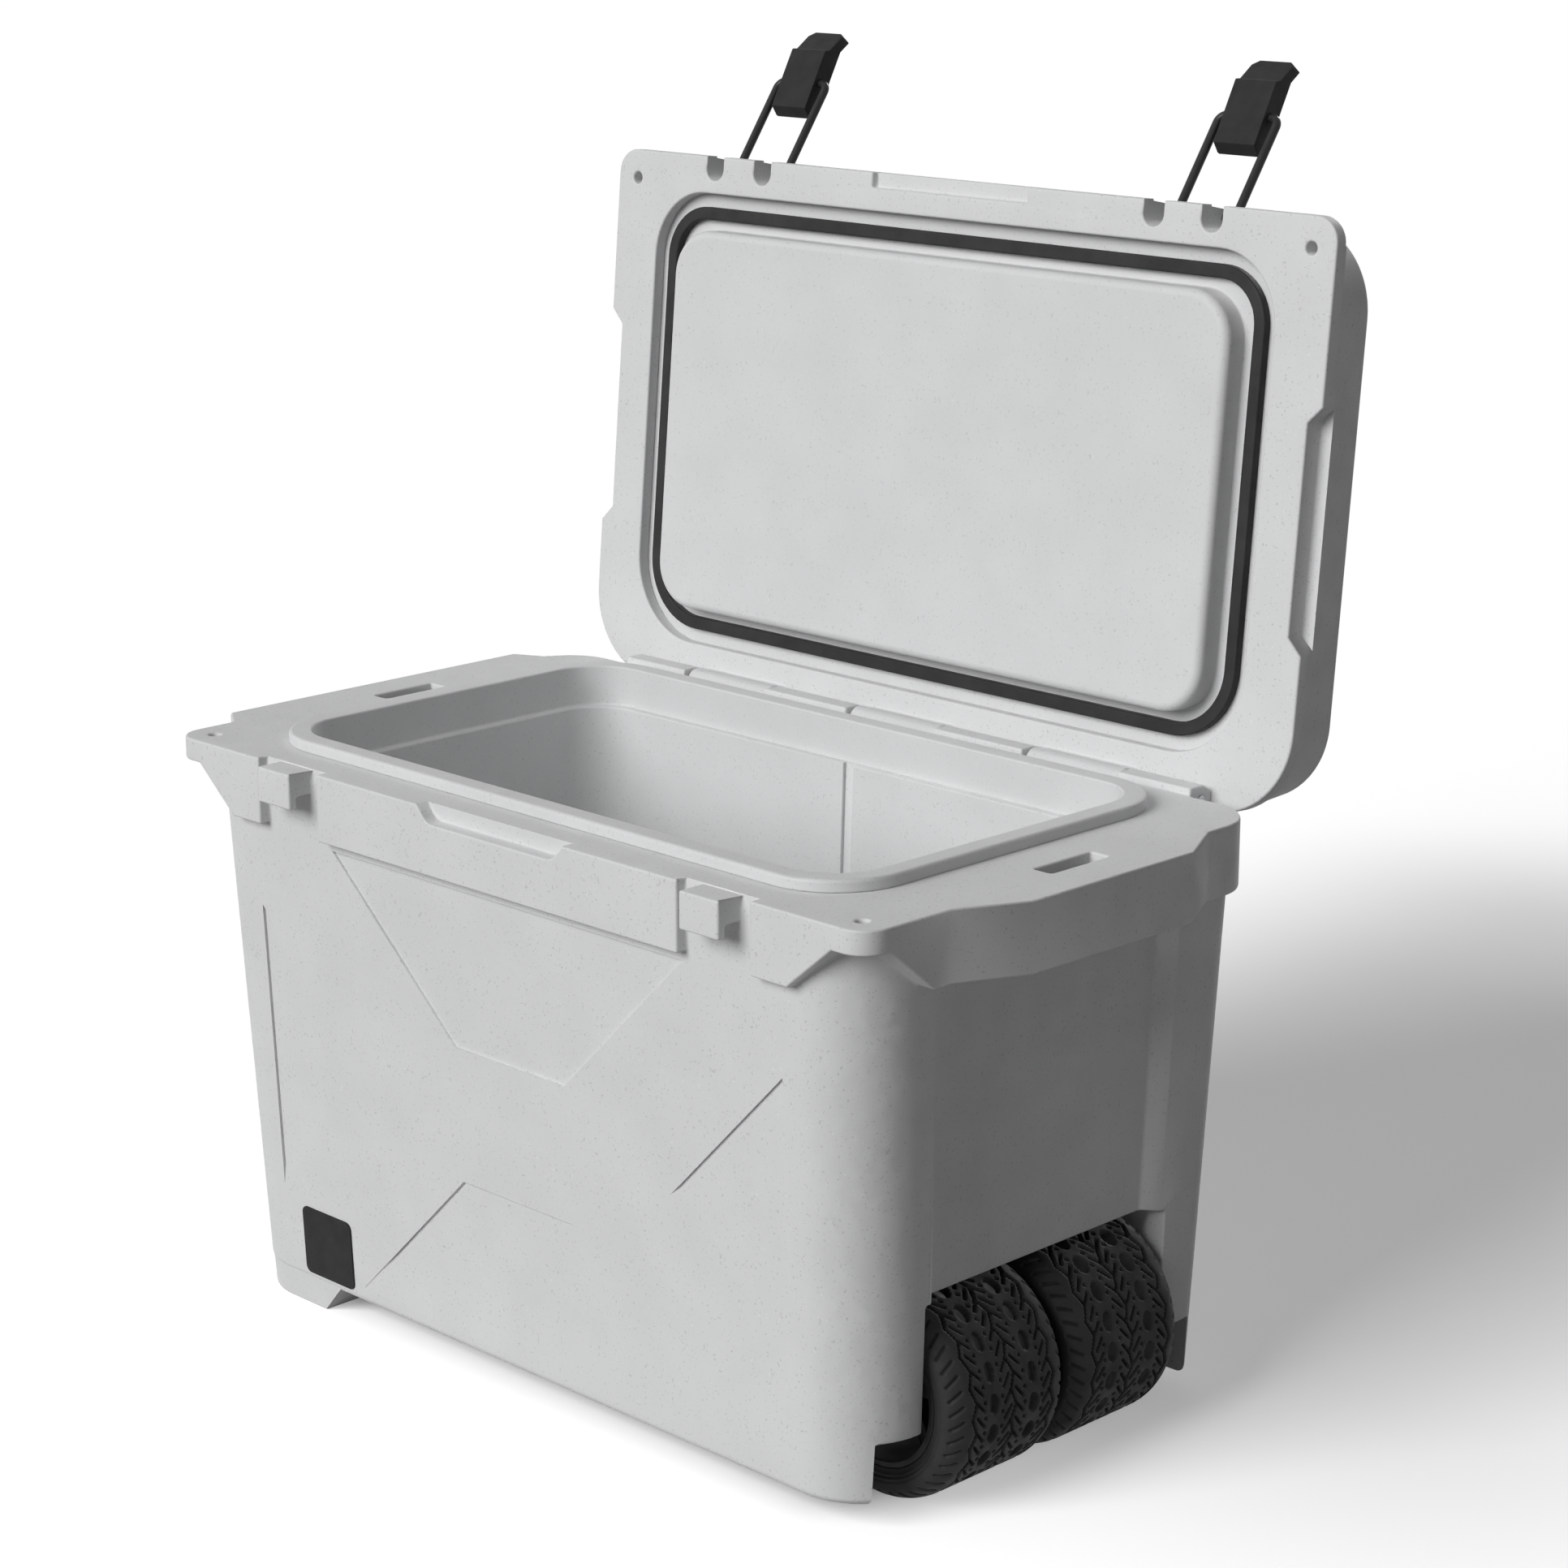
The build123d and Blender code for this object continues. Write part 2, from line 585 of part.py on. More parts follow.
def leg_notch(x):
    """U-shaped notch for one latch leg in the lid's front edge."""
    top = channel_top()
    deep = LID_FRONT + NOTCH_DEPTH - LEG_NOTCH / 2
    low = LID_Z - OVERCUT
    straight = span_box(x - LEG_NOTCH / 2, x + LEG_NOTCH / 2, LID_FRONT - OVERCUT, deep, low, top)
    return straight + Pos(x, deep, (low + top) / 2) * Cylinder(LEG_NOTCH / 2, top - low)


def grip_notch(side, grow=0.0):
    """Lifting notch under one end of the lid, with sloped ends, grown for the wall round it."""
    near, far = LID_HALF_X - GRIP_DEPTH - grow, LID_HALF_X + GRIP_DEPTH
    low, high = GRIP_Y - GRIP_HALF - grow, GRIP_Y + GRIP_HALF + grow
    plan = [(side * near, low + GRIP_DEPTH), (side * far, low - GRIP_DEPTH),
            (side * far, high + GRIP_DEPTH), (side * near, high - GRIP_DEPTH)]
    face = Pos(0, 0, LID_Z - OVERCUT) * make_face(Polyline(*plan, close=True))
    return extrude(face, GRIP_H + grow + OVERCUT, dir=(0, 0, 1))


def plug_half(grow=0.0):
    """Half sizes and corner radius of the plug that enters the mouth."""
    return MOUTH_HALF_X - PLUG_GAP + grow, MOUTH_HALF_Y - PLUG_GAP + grow, MOUTH_R - PLUG_GAP + grow


def seal_block(grow, z0, z1):
    """Block that follows the wall of the lid's recess for the seal, grown or shrunk."""
    end, wide = (LIP_W + gap + grow for gap in CHANNEL_GAP)
    half_y = MOUTH_HALF_Y + wide
    plan = corner_plan(MOUTH_HALF_X + end, half_y, half_y, CHANNEL_FRONT_R + grow, MOUTH_R + wide)
    return extrude(Pos(0, 0, z0) * plan, z1 - z0)


def channel_floor():
    """Height of the gasket's seat in the lid."""
    return TUB_TOP + LIP_H + GASKET_GAP + GASKET_T


def liner_top():
    """Height of the inner face of the lid's panel."""
    return channel_floor() + LID_WALL


def latch_block(side, grow=0.0):
    """Solid part of the lid that holds one latch."""
    reach = LEG_SPACING / 2 + LEG_NOTCH / 2 + LID_WALL + grow
    return span_box(side * LATCH_X - reach, side * LATCH_X + reach, LID_FRONT,
                    LID_FRONT + NOTCH_DEPTH + LID_WALL + grow, LID_Z, channel_top() + LID_WALL + grow)


def lid_void(shrink=0.0):
    """Hollow of the lid: wide above the rim, and open over the panel below it."""
    room = crown(LID_WALL + shrink, LID_Z + RIM_T + shrink, LID_Z + LID_T - LID_WALL - shrink)
    for side in (-1, 1):
        room = room - latch_block(side, shrink) - grip_notch(side, LID_WALL + shrink)
    return room


def lid_shell():
    """Outer moulding of the lid."""
    top = crown(0, LID_Z, LID_Z + LID_T)
    top = fillet(top.edges().group_by(Axis.Z)[-1], CROWN_ROUND)
    plate = extrude(Pos(0, 0, LID_Z) * lid_plan(0, LID_EAR_R), LID_EAR_T)
    shell = top + plate - lid_void()
    shell = shell - seal_block(0, LID_Z - OVERCUT, channel_floor())
    shell = shell - seal_block(LINER_FLANGE + SEAT_GAP, channel_floor(), LID_Z + RIM_T + OVERCUT)
    for side in (-1, 1):
        shell = shell - grip_notch(side)
        shell = shell - Pos(side * LOCK_X, LOCK_Y, LID_Z) * Cylinder(LOCK_R, 4 * LID_EAR_T)
        land = rod_x(side * LATCH_X - LEG_SPACING / 2, side * LATCH_X + LEG_SPACING / 2, BAIL_PIVOT[0],
                     LID_Z + BAIL_PIVOT[1], ROD_R + RUN_FIT)
        shell = shell - land
    for x in leg_places():
        shell = shell - leg_notch(x)
    scoop = span_box(-SCOOP_HALF, SCOOP_HALF, LID_FRONT - OVERCUT, LID_FRONT + GRIP_DEPTH,
                     LID_Z - OVERCUT, LID_Z + SCOOP_DEPTH / 2)
    shell = shell - scoop
    for low, high in knuckle_spans("lid"):
        shell = shell + lid_knuckle(low, high)
    return shell - rod_x(-FAR, FAR, HINGE_Y, HINGE_Z, PIN_R + RUN_FIT)


def lid_liner():
    """Inner panel of the lid with the gasket channel and the plug."""
    flange = seal_block(LINER_FLANGE, channel_floor(), liner_top())
    hollow = rounded_block(*plug_half(-LID_WALL), LID_Z - PLUG_DROP + LID_WALL, liner_top() + OVERCUT)
    plug = rounded_block(*plug_half(), LID_Z - PLUG_DROP, channel_floor())
    plug = fillet(plug.edges().group_by(Axis.Z)[0], PLUG_ROUND)
    return flange + plug - hollow


def lid_foam():
    """Foam inside the lid."""
    fill = lid_void(SEAT_GAP)
    floor = seal_block(LINER_FLANGE, liner_top() + SEAT_GAP, LID_Z + LID_T / 2)
    for side in (-1, 1):
        floor = floor - latch_block(side, SEAT_GAP)
    inner = rounded_block(*plug_half(-LID_WALL - SEAT_GAP), LID_Z - PLUG_DROP + LID_WALL + SEAT_GAP,
                          LID_Z + LID_T / 2)
    return fill + floor + inner


def lid_gasket():
    """Soft seal that presses on the lip of the mouth."""
    low, high = channel_floor() - GASKET_T, channel_floor()
    ring = seal_block(-GASKET_EDGE, low, high) - seal_block(-GASKET_EDGE - GASKET_W, low, high)
    return fillet(ring.edges().group_by(Axis.Z)[0], GASKET_ROUND)


def latch_bail(side):
    """Bent rod between the lid and the lever, drawn latched."""
    middle = side * LATCH_X
    leg = LEG_SPACING / 2
    stub = leg - LEG_NOTCH / 2 - STUB_GRIP
    top = (BAIL_PIVOT[0], LID_Z + BAIL_PIVOT[1])
    low = (LEVER_PIVOT[0], TUB_TOP + LEVER_PIVOT[1])
    points = [(middle - stub, *top), (middle - leg, *top), (middle - leg, *low),
              (middle + leg, *low), (middle + leg, *top), (middle + stub, *top)]
    path = FilletPolyline(*points, radius=BEND_R)
    section = Plane(origin=path @ 0, z_dir=path % 0) * Circle(ROD_R)
    return sweep(section, path=path)


def latch_lever(side):
    """Lever with the nose that hooks its keeper and a bent tab to pull, drawn latched."""
    nose_front = KEEPER_REACH + KEEPER_LIP + NOSE_GAP - LEVER_PIVOT[0]
    nose_top = -KEEPER_CEILING - NOSE_GAP - LEVER_PIVOT[1]
    bend = math.radians(TAB_ANGLE)
    along = (-TAB_LENGTH * math.sin(bend), -TAB_LENGTH * math.cos(bend))
    across = (-TAB_T * math.cos(bend), TAB_T * math.sin(bend))
    root = (LEVER_BACK - LEVER_SHOULDER[0], -LEVER_DROP - LEVER_SHOULDER[1])
    tip = (root[0] + along[0], root[1] + along[1])
    front_tip = (tip[0] + across[0], tip[1] + across[1])
    front_low = front_tip[1] + (front_tip[0] + LEVER_FRONT) / math.tan(-bend)
    outline = [(nose_front, nose_top), (nose_front + NOSE_TIP, nose_top),
               (LEVER_BACK, nose_top - NOSE_BEVEL), (LEVER_BACK, -LEVER_DROP), root, tip, front_tip,
               (-LEVER_FRONT, front_low),
               (-LEVER_FRONT, NOSE_ROOT[1]), (nose_front, NOSE_ROOT[0])]
    middle = side * LATCH_X
    half = LEVER_W / 2
    low = tip[1]
    face = [(-half, nose_top), (half, nose_top), (half, low + TAB_CHAMFER), (half - TAB_CHAMFER, low),
            (TAB_CHAMFER - half, low), (-half, low + TAB_CHAMFER)]
    body = prism_yz(outline, -half, half) & prism_xz(face, -FAR, FAR)
    y, z = LEVER_PIVOT[0], TUB_TOP + LEVER_PIVOT[1]
    bore = rod_x(middle - LEVER_W, middle + LEVER_W, y, z, ROD_R + RUN_FIT)
    return Pos(middle, y, z) * body - bore


def wheel_place(side):
    """Where a wheel's own middle sits on the axle."""
    return Pos(WHEEL_X, side * WHEEL_Y, TYRE_R)


def spun(outline):
    """Revolve an outline of (radius, along the axle) about the axle."""
    face = Plane.XY * make_face(Polyline(*outline, close=True))
    return revolve(face, Axis.Y)


def tyre(side):
    """Hollow rubber tyre with grooves and rows of pockets in the tread."""
    half = TYRE_W / 2
    bead = RIM_R + RIM_LIP
    inner = half - RIM_INSET
    low, high = TYRE_R - SHOULDER_RISE[0], TYRE_R - SHOULDER_RISE[1]
    edge = half - SHOULDER_IN
    outer = [(RIM_R, -inner), (bead, -inner), (low, -half), (high, -edge), (TYRE_R, -TREAD_HALF),
             (TYRE_R, TREAD_HALF), (high, edge), (low, half), (bead, inner), (RIM_R, inner)]
    void = [(RIM_R, inner - CARCASS), (TYRE_R - CARCASS, TREAD_HALF), (TYRE_R - CARCASS, -TREAD_HALF),
            (RIM_R, -inner + CARCASS)]
    ring = spun(outer + void)
    for along in (-TREAD_HALF + 2 * GROOVE_HALF, 0, TREAD_HALF - 2 * GROOVE_HALF):
        groove = Pos(0, along, 0) * Rot(X=90) * (Cylinder(TYRE_R + OVERCUT, 2 * GROOVE_HALF)
                                                 - Cylinder(TYRE_R - TREAD_GROOVE, 2 * GROOVE_HALF))
        ring = ring - groove
    length, width, depth = POCKET
    pocket = Pos(TYRE_R, 0, 0) * Box(2 * depth, width, length)
    turn = 360 / TREAD_PITCHES
    cuts = []
    for number in range(TREAD_PITCHES):
        for row, lag in ((-POCKET_ROW, 0), (POCKET_ROW, turn / 2)):
            cuts.append(Rot(Y=number * turn + lag) * Pos(0, row, 0) * pocket)
    return wheel_place(side) * (ring - cuts)


def rim(side):
    """Spoked rim inside the tyre."""
    half = TYRE_W / 2 - RIM_INSET
    barrel = [(RIM_R - RIM_WALL, -half), (RIM_R, -half), (RIM_R, half), (RIM_R - RIM_WALL, half)]
    hub_half = TYRE_W / 2 - HUB_GAP
    hub = [(AXLE_R + RUN_FIT + BUSH_WALL, -hub_half), (HUB_R, -hub_half), (HUB_R, hub_half),
           (AXLE_R + RUN_FIT + BUSH_WALL, hub_half)]
    wheel = spun(barrel) + spun(hub)
    middle = (HUB_R + RIM_R - RIM_WALL) / 2
    for number in range(SPOKES):
        spoke = Pos(middle, 0, 0) * Box(RIM_R - RIM_WALL - HUB_R + 2 * OVERCUT, SPOKE_DEPTH, SPOKE_W)
        wheel = wheel + Rot(Y=number * 360 / SPOKES) * spoke
    return wheel_place(side) * wheel


def wheel_bushing(side):
    """Plain sleeve between hub and axle."""
    half = TYRE_W / 2 - HUB_GAP
    bore = AXLE_R + RUN_FIT
    outside = bore + BUSH_WALL
    return wheel_place(side) * spun([(bore, -half), (outside, -half), (outside, half), (bore, half)])


def wheel_axle():
    """Fixed axle held in both cheeks of the well."""
    reach = WELL_HALF_Y + AXLE_END_GRIP
    return rod_y(-reach, reach, WHEEL_X, TYRE_R, AXLE_R)


def axle_ring(low, high):
    """Washer or spacer on the axle."""
    return rod_y(low, high, WHEEL_X, TYRE_R, SPACER_R) - rod_y(low, high, WHEEL_X, TYRE_R, AXLE_R)


def axle_cap(side):
    """Cap that closes an axle slot from below."""
    low, high = sorted((side * CAP_Y[0], side * CAP_Y[1]))
    cap = span_box(WHEEL_X - BOSS_HALF_X, WHEEL_X + BOSS_HALF_X, low, high, CUT_TOP - CAP_T, CUT_TOP)
    ends = sorted((side * CAP_Y[0], side * (WELL_HALF_Y + AXLE_END_GRIP)))
    half = AXLE_R - SEAT_GAP
    tongue = span_box(WHEEL_X - half, WHEEL_X + half, *ends, CUT_TOP - OVERCUT, TYRE_R)
    cap = cap + tongue - rod_y(-FAR, FAR, WHEEL_X, TYRE_R, AXLE_R)
    for x, y in screw_places(side):
        cap = cap - Pos(x, y, CUT_TOP) * Cylinder(SCREW_R, 4 * CAP_T)
    return cap


def axle_cap_screws(side):
    """The two screws of one axle cap, as separate solids."""
    low = CUT_TOP - CAP_T
    screws = []
    for x, y in screw_places(side):
        shank = Pos(x, y, (low + CUT_TOP + SCREW_GRIP) / 2) * Cylinder(SCREW_R, CUT_TOP + SCREW_GRIP - low)
        head = Pos(x, y, low - SCREW_HEAD_T / 2) * Cylinder(SCREW_HEAD_R, SCREW_HEAD_T)
        screws.append(shank + head)
    return Compound(children=screws)


def drain_outer_x():
    """Flat seat of the drain fitting on the outer shell."""
    return -wall_half(DRAIN_Z)[0] - DRAIN_PAD


def drain_fitting():
    """Flanged tube through the wall."""
    out, inside = drain_outer_x(), drain_inner_x() + DRAIN_NUT_T
    tube = rod_x(out, inside, 0, DRAIN_Z, DRAIN_R)
    flange = rod_x(out - DRAIN_FLANGE_T, out, 0, DRAIN_Z, DRAIN_FLANGE_R)
    return tube + flange - rod_x(out - FAR, 0, 0, DRAIN_Z, DRAIN_BORE)


def drain_nut():
    """Hexagonal nut that clamps the fitting from inside the chamber."""
    face = drain_inner_x()
    nut = Pos(face, 0, DRAIN_Z) * Rot(Y=90) * extrude(RegularPolygon(DRAIN_NUT_R, 6), DRAIN_NUT_T)
    return nut - rod_x(-FAR, 0, 0, DRAIN_Z, DRAIN_R)


def drain_seal():
    """Flat washer under the plug's head."""
    face = drain_outer_x() - DRAIN_FLANGE_T
    ring = rod_x(face - SEAL_T, face, 0, DRAIN_Z, SEAL_R)
    return ring - rod_x(-FAR, 0, 0, DRAIN_Z, DRAIN_BORE - PLUG_PLAY)


def drain_plug():
    """Screw plug with a lobed head."""
    face = drain_outer_x() - DRAIN_FLANGE_T - SEAL_T
    head = rod_x(face - KNOB_T, face, 0, DRAIN_Z, KNOB_R)
    for number in range(KNOB_LOBES):
        angle = math.radians(number * 360 / KNOB_LOBES)
        y, z = KNOB_R * math.cos(angle), DRAIN_Z + KNOB_R * math.sin(angle)
        head = head - rod_x(face - 2 * KNOB_T, face + OVERCUT, y, z, KNOB_R / 6)
    return head + rod_x(face, face + PLUG_SHANK, 0, DRAIN_Z, DRAIN_BORE - PLUG_PLAY)


def about_x(angle, y, z):
    """Turn about an axis along x through a point."""
    return Pos(0, y, z) * Rot(X=angle) * Pos(0, -y, -z)


def build_nodes():
    """Every piece at rest: lid open, latches leaning back on their stops."""
    lid_rest = about_x(-LID_OPEN, HINGE_Y, HINGE_Z)
    latch_rest = lid_rest * about_x(-BAIL_SWING, BAIL_PIVOT[0], LID_Z + BAIL_PIVOT[1])
    nodes = {
        "outer_shell": outer_shell(), "inner_liner": inner_liner(), "tub_foam": tub_foam(),
        "hinge_pin": hinge_pin(), "wheel_axle": wheel_axle(),
        "wheel_spacer": axle_ring(-WHEEL_GAP / 2, WHEEL_GAP / 2),
        "drain_fitting": drain_fitting(), "drain_nut": drain_nut(),
        "drain_plug": drain_plug(), "drain_seal": drain_seal(),
        "lid_shell": lid_rest * lid_shell(), "lid_liner": lid_rest * lid_liner(),
        "lid_foam": lid_rest * lid_foam(), "lid_gasket": lid_rest * lid_gasket(),
    }
    for name, side in (("left", -1), ("right", 1)):
        nodes[name + "_latch_bail"] = latch_rest * latch_bail(side)
        nodes[name + "_latch_lever"] = latch_rest * latch_lever(side)
    for name, side in (("front", -1), ("rear", 1)):
        nodes[name + "_tyre"] = tyre(side)
        nodes[name + "_rim"] = rim(side)
        nodes[name + "_wheel_bushing"] = wheel_bushing(side)
        nodes[name + "_axle_cap"] = axle_cap(side)
        nodes[name + "_axle_cap_screws"] = axle_cap_screws(side)
        inner, outer = sorted((side * TYRE_W + side * WHEEL_GAP / 2, side * WELL_HALF_Y))
        nodes[name + "_thrust_washer"] = axle_ring(inner, outer)
    return nodes


def origin_shift(nodes):
    """Move that brings the middle of the whole object's footprint to x = y = 0."""
    boxes = [node.bounding_box() for node in nodes.values()]
    x = (min(box.min.X for box in boxes) + max(box.max.X for box in boxes)) / 2
    y = (min(box.min.Y for box in boxes) + max(box.max.Y for box in boxes)) / 2
    return Pos(-x, -y, 0)


NODES = build_nodes()
SHIFT = origin_shift(NODES)
os.makedirs("parts", exist_ok=True)
for node_name, node_solid in NODES.items():
    export_step(SHIFT * node_solid, "parts/" + node_name + ".step")
print("shift", SHIFT.position)
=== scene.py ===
# %% [markdown]
# # A cooler on wheels
# The solids of this cooler, with their sizes and joints, come from a CAD model that is loaded here as
# a fixed frame. A CAD model has knife-sharp edges and one flat colour per part, so the lesson dresses
# it: soft moulded edges, a speckled plastic, a real tyre tread, light, a floor and a camera.
# All lengths are in metres, in the CAD model's own frame, so nothing has to be fitted by eye.

# %% Load the frame
import json
import math

import bmesh
import bpy
import numpy as np
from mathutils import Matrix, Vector
from mathutils.bvhtree import BVHTree
from mathutils.kdtree import KDTree

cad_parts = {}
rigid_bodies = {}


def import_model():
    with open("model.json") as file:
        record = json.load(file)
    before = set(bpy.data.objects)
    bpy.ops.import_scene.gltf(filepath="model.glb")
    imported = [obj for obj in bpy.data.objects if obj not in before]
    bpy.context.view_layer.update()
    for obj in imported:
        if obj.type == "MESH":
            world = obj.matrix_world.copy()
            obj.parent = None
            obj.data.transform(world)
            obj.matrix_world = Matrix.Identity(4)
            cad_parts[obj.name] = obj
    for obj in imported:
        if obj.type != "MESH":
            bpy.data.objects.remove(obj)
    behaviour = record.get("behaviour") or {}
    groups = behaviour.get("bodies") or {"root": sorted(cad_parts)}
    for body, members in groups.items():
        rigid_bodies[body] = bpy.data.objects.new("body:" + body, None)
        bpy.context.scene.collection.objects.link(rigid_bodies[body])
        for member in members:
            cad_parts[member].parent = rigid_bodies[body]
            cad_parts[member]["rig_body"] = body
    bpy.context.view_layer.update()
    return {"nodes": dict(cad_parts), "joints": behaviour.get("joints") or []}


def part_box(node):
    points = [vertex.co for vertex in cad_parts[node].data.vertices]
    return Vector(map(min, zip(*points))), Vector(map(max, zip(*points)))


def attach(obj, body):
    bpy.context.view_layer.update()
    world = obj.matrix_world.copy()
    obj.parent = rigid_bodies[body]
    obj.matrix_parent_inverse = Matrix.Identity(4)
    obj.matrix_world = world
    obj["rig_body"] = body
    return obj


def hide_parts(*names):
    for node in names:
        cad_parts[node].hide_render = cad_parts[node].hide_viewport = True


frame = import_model()

# %% [markdown]
# ## Landmarks
# The lid turns on a long pin behind the tub. That pin is the one line that both the tub and the lid
# know, so the camera is placed from it later. Its place is read from the frame's joints and not typed
# in, so the scene follows if the CAD model moves.

# %% Find the hinge
MM = 0.001
joints = {joint["name"]: joint for joint in frame["joints"]}
hinge = Vector(joints["lid_hinge"]["pos_m"])
print("hinge line at", [round(x, 4) for x in hinge])

# %% [markdown]
# ## Helpers for finishes
# Every finish is a node tree round one Principled shader. Three small helpers keep the trees short: one
# starts a tree, one gives a noise in the object's own metres, so that grain has a real size, and one
# turns a noise into a colour or a number with a colour ramp.

# %% Helpers for node trees
def new_finish(name):
    finish = bpy.data.materials.new(name)
    finish.use_nodes = True
    tree = finish.node_tree
    tree.nodes.clear()
    output = tree.nodes.new("ShaderNodeOutputMaterial")
    skin = tree.nodes.new("ShaderNodeBsdfPrincipled")
    tree.links.new(skin.outputs["BSDF"], output.inputs["Surface"])
    return finish, tree, skin


def noise(tree, scale, detail=2.0, stretch=(1, 1, 1)):
    place = tree.nodes.new("ShaderNodeTexCoord")
    mapping = tree.nodes.new("ShaderNodeMapping")
    mapping.inputs["Scale"].default_value = stretch
    grain = tree.nodes.new("ShaderNodeTexNoise")
    grain.inputs["Scale"].default_value = scale
    grain.inputs["Detail"].default_value = detail
    tree.links.new(place.outputs["Object"], mapping.inputs["Vector"])
    tree.links.new(mapping.outputs["Vector"], grain.inputs["Vector"])
    return grain.outputs["Fac"]


def ramp(tree, value, low, high, first, last):
    node = tree.nodes.new("ShaderNodeValToRGB")
    for stop, place, colour in zip(node.color_ramp.elements, (low, high), (first, last)):
        stop.position = place
        stop.color = (*colour, 1) if hasattr(colour, "__len__") else (colour, colour, colour, 1)
    tree.links.new(value, node.inputs["Fac"])
    return node.outputs["Color"]


def mix(tree, mode, share, first, second):
    node = tree.nodes.new("ShaderNodeMix")
    node.data_type, node.blend_type = "RGBA", mode
    colours = [socket for socket in node.inputs if socket.type == "RGBA"]
    for socket, value in zip((node.inputs[0], *colours), (share, first, second)):
        if isinstance(value, bpy.types.NodeSocket):
            tree.links.new(value, socket)
        else:
            socket.default_value = value
    return next(socket for socket in node.outputs if socket.type == "RGBA")


def bump(tree, skin, height, strength, distance):
    node = tree.nodes.new("ShaderNodeBump")
    node.inputs["Strength"].default_value = strength
    node.inputs["Distance"].default_value = distance
    tree.links.new(height, node.inputs["Height"])
    tree.links.new(node.outputs["Normal"], skin.inputs["Normal"])


print("helpers ready")

# %% [markdown]
# ## Speckled moulded plastic
# The tub and the lid are turned out of a heated mould, and the resin is a pale grey with dark and light
# flecks in it. A flat grey would look like paint, so the colour is built in layers: slow clouds, pepper
# flecks of about a millimetre, a few lighter ones, and a fine orange-peel bump from the mould's skin.

# %% Speckled plastic
CLOUD_SHADES = (0.98, 1.02)
DARK_FLECK = 0.5
PALE_FLECK = 1.3


def speckled_plastic(name, colour, pepper, peel):
    finish, tree, skin = new_finish(name)
    shade = [tuple(c * k for c in colour) for k in CLOUD_SHADES]
    clouds = ramp(tree, noise(tree, 16, 4), 0.35, 0.65, *shade)
    dark = ramp(tree, noise(tree, 450, 1), 0.65, 0.73, 0.0, pepper)
    flecked = mix(tree, "MIX", dark, clouds, tuple(c * DARK_FLECK for c in colour) + (1,))
    pale = ramp(tree, noise(tree, 420, 1.5), 0.68, 0.78, 0.0, pepper)
    coat = mix(tree, "MIX", pale, flecked, tuple(min(1, c * PALE_FLECK) for c in colour) + (1,))
    tree.links.new(coat, skin.inputs["Base Color"])
    tree.links.new(ramp(tree, noise(tree, 45, 3), 0.3, 0.7, 0.5, 0.64), skin.inputs["Roughness"])
    skin.inputs["Specular IOR Level"].default_value = 0.35
    bump(tree, skin, noise(tree, 900, 3), peel, 0.0004)
    return finish


shell_skin = speckled_plastic("speckled_grey_plastic", (0.655, 0.66, 0.662), 0.4, 0.16)
liner_skin = speckled_plastic("smooth_liner_plastic", (0.645, 0.65, 0.652), 0.3, 0.08)
print("made", shell_skin.name, "and", liner_skin.name)

# %% [markdown]
# ## Black plastics and rubber
# The latches, the wheels and the drain are black, but no black part is evenly black. Moulded nylon has a
# soft sheen that varies, rubber is duller with a dusty bloom, and both have a fine grain. One function
# makes them all, with the bloom, the gloss and the grain size as its settings.

# %% Black finishes
GRAIN_LIFT = 1.8


def black_finish(name, colour, bloom, gloss, size, depth):
    finish, tree, skin = new_finish(name)
    dust = ramp(tree, noise(tree, 30, 5), 0.42, 0.75, colour, tuple(c + bloom for c in colour))
    fleck = ramp(tree, noise(tree, size, 2), 0.55, 0.8, 0.0, 0.35)
    coat = mix(tree, "MIX", fleck, dust, tuple(c * GRAIN_LIFT for c in colour) + (1,))
    tree.links.new(coat, skin.inputs["Base Color"])
    tree.links.new(ramp(tree, noise(tree, 80, 3), 0.3, 0.7, *gloss), skin.inputs["Roughness"])
    skin.inputs["Specular IOR Level"].default_value = 0.18
    bump(tree, skin, noise(tree, size, 3), 0.25, depth)
    return finish


latch_skin = black_finish("black_latch_nylon", (0.016, 0.016, 0.017), 0.006, (0.62, 0.74), 900, 0.0003)
tyre_skin = black_finish("tyre_rubber", (0.023, 0.023, 0.0225), 0.010, (0.55, 0.75), 700, 0.0003)
rim_skin = black_finish("rim_nylon", (0.018, 0.018, 0.018), 0.010, (0.42, 0.58), 800, 0.0003)
seal_skin = black_finish("seal_rubber", (0.024, 0.024, 0.024), 0.012, (0.5, 0.7), 900, 0.0002)
rod_skin = black_finish("coated_rod", (0.022, 0.022, 0.023), 0.008, (0.28, 0.4), 1200, 0.0001)
drain_skin = black_finish("drain_nylon", (0.03, 0.03, 0.031), 0.010, (0.4, 0.55), 900, 0.0003)
print("made six black finishes")

# %% [markdown]
# A tyre's cuts look blacker than its tread, because light hardly gets out of them. That shade is painted
# into the rubber here.
# The tread mesh made below carries a value called "cut" at each point, from 0 on the tread to 1 at the
# bottom of a groove. The rubber reads it and paints its colour darker there, so the painted shade always
# follows the shape.

# %% Painted shade in the cuts of the tyre rubber
def paint_shade_in_cuts(finish):
    tree = finish.node_tree
    skin = next(node for node in tree.nodes if node.type == "BSDF_PRINCIPLED")
    colour = skin.inputs["Base Color"].links[0].from_socket
    cut = tree.nodes.new("ShaderNodeAttribute")
    cut.attribute_name = "cut"
    # Painted shade: the rubber's colour drops to 0.08 of itself from a little over half the cut's depth
    # down.
    shade = ramp(tree, cut.outputs["Fac"], 0.06, 0.6, 1.0, 0.08)
    tree.links.new(mix(tree, "MULTIPLY", 1.0, colour, shade), skin.inputs["Base Color"])


paint_shade_in_cuts(tyre_skin)
print("cuts of", tyre_skin.name, "darkened")

